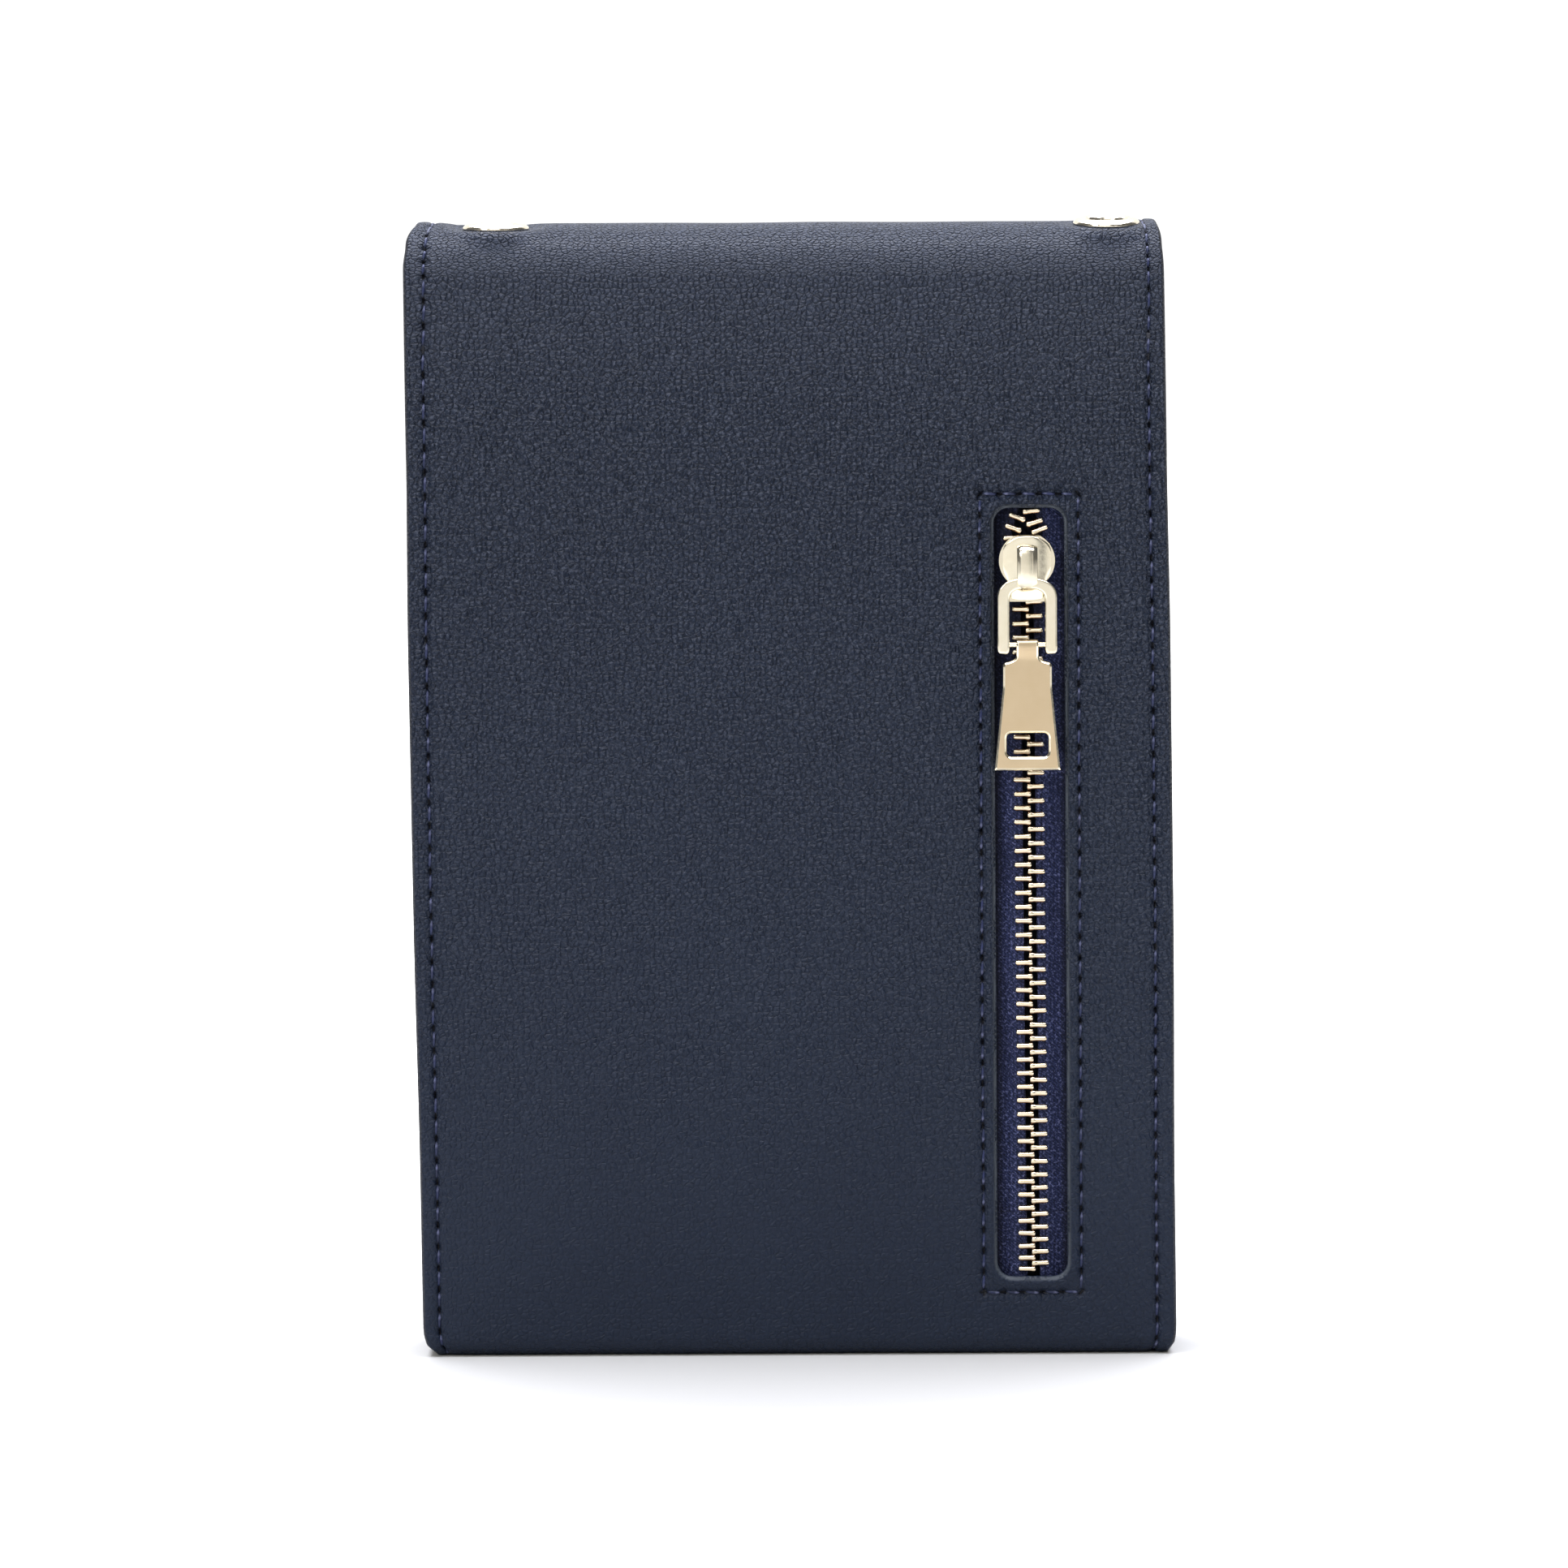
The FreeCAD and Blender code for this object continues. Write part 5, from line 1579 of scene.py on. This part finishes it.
# ---------------------------------------------------------------- small metalwork
def plate_piece(name, loops, y_front, y_back, mat, grid=0.3, insets=(0.05, 0.12, 0.2, 0.3, 0.42, 0.55), extra=None):
    loops = [ccw(l) if i == 0 else ccw(l)[::-1] for i, l in enumerate(loops)]
    pts = []
    for l in loops:
        pts += offsets(l, insets)
    lo, hi = loops[0].min(0), loops[0].max(0)
    gx, gz = np.meshgrid(np.arange(lo[0] + grid, hi[0], grid), np.arange(lo[1] + grid, hi[1], grid))
    G = np.stack([gx.ravel(), gz.ravel()], 1)
    G = G[inside(G, loops[0])]
    G = G[poly_dist(G, loops) > insets[-1] + grid * 0.4]
    O = np.vstack(pts)
    dd = poly_dist(O, loops)
    want = np.concatenate([np.full(len(l), d) for l in loops for d in insets])
    O = O[(dd > want * 0.8) & inside(O, loops[0])]
    P = np.vstack([O, G] + ([extra] if extra is not None else []))
    for hole in loops[1:]:
        P = P[~inside(P, hole)]

    def out(V):
        return np.stack([V[:, 0], y_front(V[:, 0], V[:, 1], poly_dist(V, loops)), V[:, 1]], 1)

    def inn(V):
        return np.stack([V[:, 0], y_back(V[:, 0], V[:, 1], poly_dist(V, loops)), V[:, 1]], 1)

    return sheet(name, loops, P, out, inn, mat)


CX = CHAIN_X
SL_TOP, SL_BOT, SL_C, SL_R = 121.2, 111.6, 117.6, 4.1


def slider_half(z):
    """Half width of the slider's face at a height."""
    zs = [111.55, 112.5, 113.6, 114.6, 115.2, 115.7, 116.5, 117.2, 117.8, 118.4, 119.0, 119.5, 120.0, 120.4, 120.75, 121.0, 121.15, 121.22]
    hs = [2.50, 2.60, 2.70, 2.88, 3.06, 3.30, 3.74, 3.98, 4.10, 4.07, 3.88, 3.62, 3.22, 2.74, 2.18, 1.62, 1.10, 0.55]
    return np.interp(z, zs, hs)


def slider_loop(inset=0.0):
    zs = np.concatenate([np.linspace(SL_BOT, 120.0, 60), np.linspace(120.05, SL_TOP + 0.01, 22)])
    hs = slider_half(zs)
    right = np.stack([CX + hs, zs], 1)
    left = np.stack([CX - hs, zs], 1)[::-1]
    loop = resample(np.vstack([right, left]), 0.22)
    for _ in range(3):
        loop = (np.roll(loop, 1, axis=0) + 2 * loop + np.roll(loop, -1, axis=0)) / 4
    return ccw(loop)


def y_face(x, z, d):
    dome = 0.72 * (1 - ((x - CX) / 4.3) ** 2) * smooth(110.5, 114.0, z)
    return -11.98 - dome - 0.14 * np.sqrt(np.clip(1 - (1 - np.clip(d / 0.4, 0, 1)) ** 2, 0, 1))


o = plate_piece("slider_face", [slider_loop()], y_face, lambda x, z, d: -11.66 + 0 * x, GOLD, grid=0.25,
                insets=(0.04, 0.1, 0.18, 0.28, 0.4, 0.55, 0.75, 1.0, 1.25, 1.5))
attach(o, "slider")
slider_node = NODES["slider_body"]


# crown: a bar that arches over the yoke, with flat facets along its length
def sweep(name, line, section, mat, body, node=None):
    """section is a closed loop of (x, n): n is out from the line along its normal."""
    line = np.asarray(line, float)
    t = np.gradient(line, axis=0)
    t /= np.linalg.norm(t, axis=1)[:, None]
    nrm = np.stack([t[:, 1], -t[:, 0]], 1)
    if nrm[len(nrm) // 2][0] > 0:
        nrm = -nrm
    m = len(section)
    verts = []
    for (y, zz), (ny, nz) in zip(line, nrm):
        for x, n in section:
            verts.append((CX + x, y + ny * n, zz + nz * n))
    faces = []
    for i in range(len(line) - 1):
        for k in range(m):
            faces.append([i * m + k, (i + 1) * m + k, (i + 1) * m + (k + 1) % m, i * m + (k + 1) % m])
    faces.append([k for k in range(m)])
    faces.append([(len(line) - 1) * m + k for k in range(m)][::-1])
    v = np.array(verts)
    o = add_object(name, v, faces, mat, uv=v[:, [0, 2]])
    vol = 0.0
    for f in faces:
        for a in range(1, len(f) - 1):
            vol += np.dot(v[f[0]], np.cross(v[f[a]], v[f[a + 1]]))
    if vol < 0:
        o.data.flip_normals()
    if node:
        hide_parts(node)
    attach(o, body)
    return o


def bezier_line(pts, n=10):
    """A smooth run through a few points."""
    pts = np.asarray(pts, float)
    out = []
    for i in range(len(pts) - 1):
        p0, p1, p2, p3 = pts[max(i - 1, 0)], pts[i], pts[i + 1], pts[min(i + 2, len(pts) - 1)]
        for k in range(n):
            t = k / n
            out.append(0.5 * ((2 * p1) + (-p0 + p2) * t + (2 * p0 - 5 * p1 + 4 * p2 - p3) * t * t + (-p0 + 3 * p1 - 3 * p2 + p3) * t ** 3))
    out.append(pts[-1])
    return np.array(out)


crown_line = bezier_line([(-12.0, 119.75), (-12.7, 119.95), (-13.6, 119.7), (-14.2, 119.1), (-14.5, 118.0), (-14.55, 116.5), (-14.5, 115.2), (-14.3, 114.3), (-13.7, 113.6), (-12.9, 113.25), (-12.0, 113.15)], 7)
sec = [(-1.47, -0.42), (-1.50, -0.24), (-1.44, -0.10), (-0.80, 0.14), (-0.66, 0.15), (0.60, 0.06), (0.74, 0.03), (1.44, -0.20), (1.50, -0.30), (1.47, -0.42), (1.30, -0.47), (-1.30, -0.47)]
sweep("slider_bridge", crown_line, sec, GOLD_SOFT, "slider", "slider_crown")

# yoke
YA, YZ = -13.4, 114.35


def yoke_loop():
    a, pts = [], []
    top, sh = 115.18, 112.4
    n = 26
    for i in range(n + 1):
        t = math.pi * i / n
        c, s_ = math.cos(t), math.sin(t)
        e = 2 / 2.3
        pts.append((CX + 4.37 * math.copysign(abs(c) ** e, c), sh + (top - sh) * abs(s_) ** e))
    leg_o = [(CX - 4.37, 106.5), (CX - 4.42, 105.0), (CX - 4.34, 104.35), (CX - 4.08, 104.03), (CX - 3.0, 103.98), (CX - 2.72, 104.2), (CX - 2.6, 104.7), (CX - 2.6, 106.5)]
    pts += leg_o
    topi, shi = 113.57, 111.9
    for i in range(n + 1):
        t = math.pi * (1 - i / n)
        c, s_ = math.cos(t), math.sin(t)
        e = 2 / 2.5
        pts.append((CX + 2.6 * math.copysign(abs(c) ** e, c), shi + (topi - shi) * abs(s_) ** e))
    pts += [(2 * CX - x, zz) for x, zz in leg_o[::-1]]
    return ccw(resample(np.array(pts), 0.28))


def ring_y(half, r):
    def f(x, z, d):
        return YA - (half - edge_drop(d, r))
    def g(x, z, d):
        return YA + (half - edge_drop(d, r))
    return f, g


yf, yb = ring_y(0.62, 0.30)
o = plate_piece("yoke_ring", [yoke_loop()], yf, yb, GOLD_SOFT, grid=0.3, insets=(0.03, 0.08, 0.15, 0.25, 0.38, 0.55, 0.72))
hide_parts("pull_yoke")
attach(o, "yoke")
NODES["pull_pin"].data.materials.clear()
NODES["pull_pin"].data.materials.append(GOLD)

# plate
PZ, PB = 105.35, 86.9


def plate_loop():
    half = [(1.60, PZ + 0.75), (1.62, PZ - 1.65), (1.74, PZ - 1.95), (2.05, PZ - 2.22), (2.5, PZ - 2.42), (3.1, PZ - 2.56), (3.42, PZ - 2.72), (3.58, PZ - 3.0),
            (3.60, PZ - 6.2), (3.66, PZ - 6.9), (4.80, PB + 0.35), (4.86, PB + 0.12), (4.78, PB)]
    right = [(CX + x, zz) for x, zz in half]
    left = [(CX - x, zz) for x, zz in half[::-1]]
    return ccw(resample(np.array(right + left), 0.25))


win = rrect(CX + 0.0, (PB + 2.0 + PB + 5.5) / 2, 3.07, 1.76, 0.75, 0.2)


def barrel_lift(z):
    """Front of the tab's neck: flat, swelling gently where it turns over the pin."""
    up = np.sqrt(np.clip(1 - (np.clip(z - PZ, 0, 0.8) / 0.80) ** 2, 0, 1))
    down = 0.52 + 0.26 * smooth(PZ - 2.3, PZ - 0.1, z)
    return np.where(z > PZ, 0.78 * up, down)


def plate_front(x, z, d):
    flat = 0.52 - np.clip(0.30 - d, 0, 0.30) * 0.95
    rim = np.clip(0.20 - d, 0, 0.20) * 0.8
    k = np.clip((1.95 - np.abs(x - CX)) * 4, 0, 1) * (z > PZ - 2.6)
    return YA - np.where(k > 0, np.maximum((barrel_lift(z) - rim) * k, flat * (z < PZ - 0.6)), flat)


def plate_back(x, z, d):
    flat = 0.50 - np.clip(0.22 - d, 0, 0.22) * 0.9
    q = np.clip(1 - ((z - PZ) / 0.80) ** 2, 0, 1)
    barrel = np.where(np.abs(z - PZ) < 0.80, 0.80 * np.sqrt(q), 0.0) - edge_drop(d, 0.2) * 0.5
    return YA + np.maximum(flat * (z < PZ - 0.6), barrel)


o = plate_piece("pull_tab", [plate_loop(), win], plate_front, plate_back, SATIN, grid=0.35, insets=(0.06, 0.14, 0.22, 0.29, 0.31, 0.4, 0.55))
me = o.data
# the bevelled rims are polished, the face is satin
me.materials.append(GOLD)
vd = poly_dist(np.array([(v.co.x * 1000, v.co.z * 1000) for v in me.vertices]), [plate_loop(), win])
for p in me.polygons:
    ds = max(vd[i] for i in p.vertices)
    zc = p.center[2] * 1000
    if ds < 0.312:
        p.material_index = 1
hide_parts("pull_plate")
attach(o, "plate")

# eyelets, washers, snap
ZL = -T - 0.7 - 0.1
ring = rounded_profile([(2.75, ZL - 1.0), (2.75, 0.3), (3.05, 0.78), (3.7, 0.98), (4.35, 0.84), (4.85, 0.45), (5.0, 0.0), (3.25, 0.0), (3.25, ZL - 0.7), (3.95, ZL - 0.7), (3.7, ZL - 1.0)], 0.28)
disc = rounded_profile([(3.28, ZL - 0.68), (5.0, ZL - 0.68), (5.0, ZL - 0.2), (3.28, ZL - 0.2)], 0.12)
for nm, ex, ez, et in zip(("left", "right"), EYE, EYE_Z, EYE_TILT):
    ax = (0.0, -math.sin(et), math.cos(et))
    o = lathe("eyelet_" + nm + "_ring", ring, (ex, EYE_Y, ez), ax, GOLD_PALE)
    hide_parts("eyelet_" + nm)
    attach(o, "flap_top")
    o = lathe("eyelet_" + nm + "_backing", disc, (ex, EYE_Y, ez), ax, GOLD_PALE)
    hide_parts("eyelet_washers")
    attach(o, "flap_top")

stud = rounded_profile([(0.0, 2.49), (1.4, 2.49), (1.4, 1.8), (7.0, 1.8), (7.0, 1.0), (2.3, 1.0), (2.3, 0.0), (0.0, 0.0)], 0.22)
o = lathe("snap_male", stud, (0, 8.2, SNAP_Z), (0, 1, 0), GOLD)
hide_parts("snap_stud")
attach(o, "flap")
sock = rounded_profile([(0.0, 0.0), (1.4, 0.0), (1.4, 1.19), (7.0, 1.19), (7.0, 2.2), (6.6, 2.49), (2.9, 2.49), (2.6, 2.3), (2.6, 1.39), (0.0, 1.39)], 0.2)
o = lathe("snap_female", sock, (0, 6.51, SNAP_Z), (0, 1, 0), GOLD)
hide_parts("snap_socket")
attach(o, "case")
for node, y0, body in (("snap_stud_washer", 10.4, "flap"), ("snap_socket_washer", 6.2, "case")):
    w = rounded_profile([(1.5, 0.0), (6.0, 0.0), (6.0, 0.3), (1.5, 0.3)], 0.08)
    o = lathe(node + "_disc", w, (0, y0, SNAP_Z), (0, 1, 0), STEEL)
    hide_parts(node)
    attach(o, body)

# CAD nodes that stay get real materials
for n, m in (("slider_body", GOLD_SOFT), ("zipper_top_stops", GOLD_TEETH), ("zipper_bottom_stop", GOLD_TEETH), ("pull_pin", GOLD)):
    ob = NODES[n]
    ob.data.materials.clear()
    ob.data.materials.append(m)

# ---------------------------------------------------------------- floor, backdrop, lights, camera
def stage_plane(name, verts, mat):
    me = bpy.data.meshes.new(name)
    me.from_pydata(verts, [], [[0, 1, 2, 3]])
    me.materials.append(mat)
    o = bpy.data.objects.new(name, me)
    COLL.objects.link(o)
    return o


fm = Mat("floor_white")
fn = fm.noise(fm.obj((1.0, 1.0, 1.0)), 6.0, 3.0)
far = fm.node("ShaderNodeVectorMath", {"operation": "LENGTH"}, _0=fm.obj((1.0, 1.0, 1.0))).outputs["Value"]
fm.set(Base_Color=fm.mix(fn, (0.55, 0.54, 0.512), (0.57, 0.56, 0.532)), Roughness=0.6)
fm.b.inputs["Specular IOR Level"].default_value = 0.2
fm.b.inputs["Emission Color"].default_value = (1, 1, 1, 1)
back = fm.node("ShaderNodeSeparateXYZ", _0=fm.obj((1.0, 1.0, 1.0))).outputs["Y"]
# Painted light: the floor glows, not at all within about 5 cm of the case and fully beyond 25 cm, more towards the
# back, so it reads white while a darker painted shadow is left round the case
fm.put(fm.b, "Emission Strength", fm.math("MULTIPLY", fm.rng(far, 0.055, 0.25, 0.0, 1.0), fm.rng(back, -0.10, 0.20, 0.30, 1.2)))
stage_plane("floor", [(-3, -1.1, 0), (3, -1.1, 0), (3, 3.2, 0), (-3, 3.2, 0)], fm.m)


def glow_card(name, verts, strength, color=(1, 1, 1, 1)):
    """A studio card with a faint mottle."""
    m = Mat(name)
    m.t.nodes.remove(m.b)
    e = m.node("ShaderNodeEmission", Strength=strength)
    m.put(e, "Color", m.mix(m.noise(m.obj((1, 1, 1)), 1.5), tuple(c * 0.97 for c in color[:3]), color[:3]))
    m.t.links.new(e.outputs[0], m.out.inputs[0])
    stage_plane(name, verts, m.m)


glow_card("backdrop", [(-4, 3.0, -0.2), (4, 3.0, -0.2), (4, 3.0, 4.0), (-4, 3.0, 4.0)], 1.15)
glow_card("front_card", [(-2.0, -2.5, -1.2), (0.75, -2.5, -1.2), (0.75, -2.5, 2.3), (-2.0, -2.5, 2.3)], 0.86)
glow_card("front_strip", [(1.25, -2.4, -1.0), (1.75, -2.3, -1.0), (1.75, -2.3, 2.0), (1.25, -2.4, 2.0)], 0.9)


def area(name, loc, target, size, power, color=(1, 1, 1), size_y=None):
    l = bpy.data.lights.new(name, "AREA")
    l.energy = power
    l.color = color
    l.shape = "RECTANGLE"
    l.size = size
    l.size_y = size_y or size
    ob = bpy.data.objects.new(name, l)
    ob.location = loc
    ob.rotation_euler = (Vector(target) - Vector(loc)).to_track_quat("-Z", "Y").to_euler()
    COLL.objects.link(ob)
    return ob


area("top_light", (0.0, 0.26, 1.22), (0.0, 0.16, 0.0), 1.5, 56.0, (0.94, 0.97, 1.09))
area("key_left", (-1.05, -1.15, 1.05), (0.0, 0.0, 0.09), 0.40, 10.0)
area("front_top", (-0.1, -1.0, 1.25), (0.0, 0.0, 0.12), 0.7, 3.5)

w = bpy.data.worlds.new("studio")
w.use_nodes = True
w.node_tree.nodes["Background"].inputs[0].default_value = (1.0, 1.0, 1.0, 1)
w.node_tree.nodes["Background"].inputs[1].default_value = 0.12
bpy.context.scene.world = w

cam = bpy.data.cameras.new("camera")
cam.sensor_width = 36.0
cam.lens = 9165.1 / 1932.0 * 36.0
cam.clip_start, cam.clip_end = 0.05, 20.0
co = bpy.data.objects.new("camera", cam)
COLL.objects.link(co)
p_, y_, r_ = math.radians(5.031), math.radians(-0.053), math.radians(-0.275)
fwd = Vector((math.sin(y_) * math.cos(p_), math.cos(y_) * math.cos(p_), -math.sin(p_)))
rgt = Vector((math.cos(y_), -math.sin(y_), 0))
up_ = rgt.cross(fwd)
r2 = rgt * math.cos(r_) + up_ * math.sin(r_)
u2 = -rgt * math.sin(r_) + up_ * math.cos(r_)
mw = Matrix.Identity(4)
for i in range(3):
    mw[i][0], mw[i][1], mw[i][2] = r2[i], u2[i], -fwd[i]
mw[0][3], mw[1][3], mw[2][3] = 0.0, -1.100, 0.1807
co.matrix_world = mw
bpy.context.scene.camera = co
bpy.context.scene.view_settings.view_transform = "Standard"
bpy.context.scene.view_settings.look = "None"
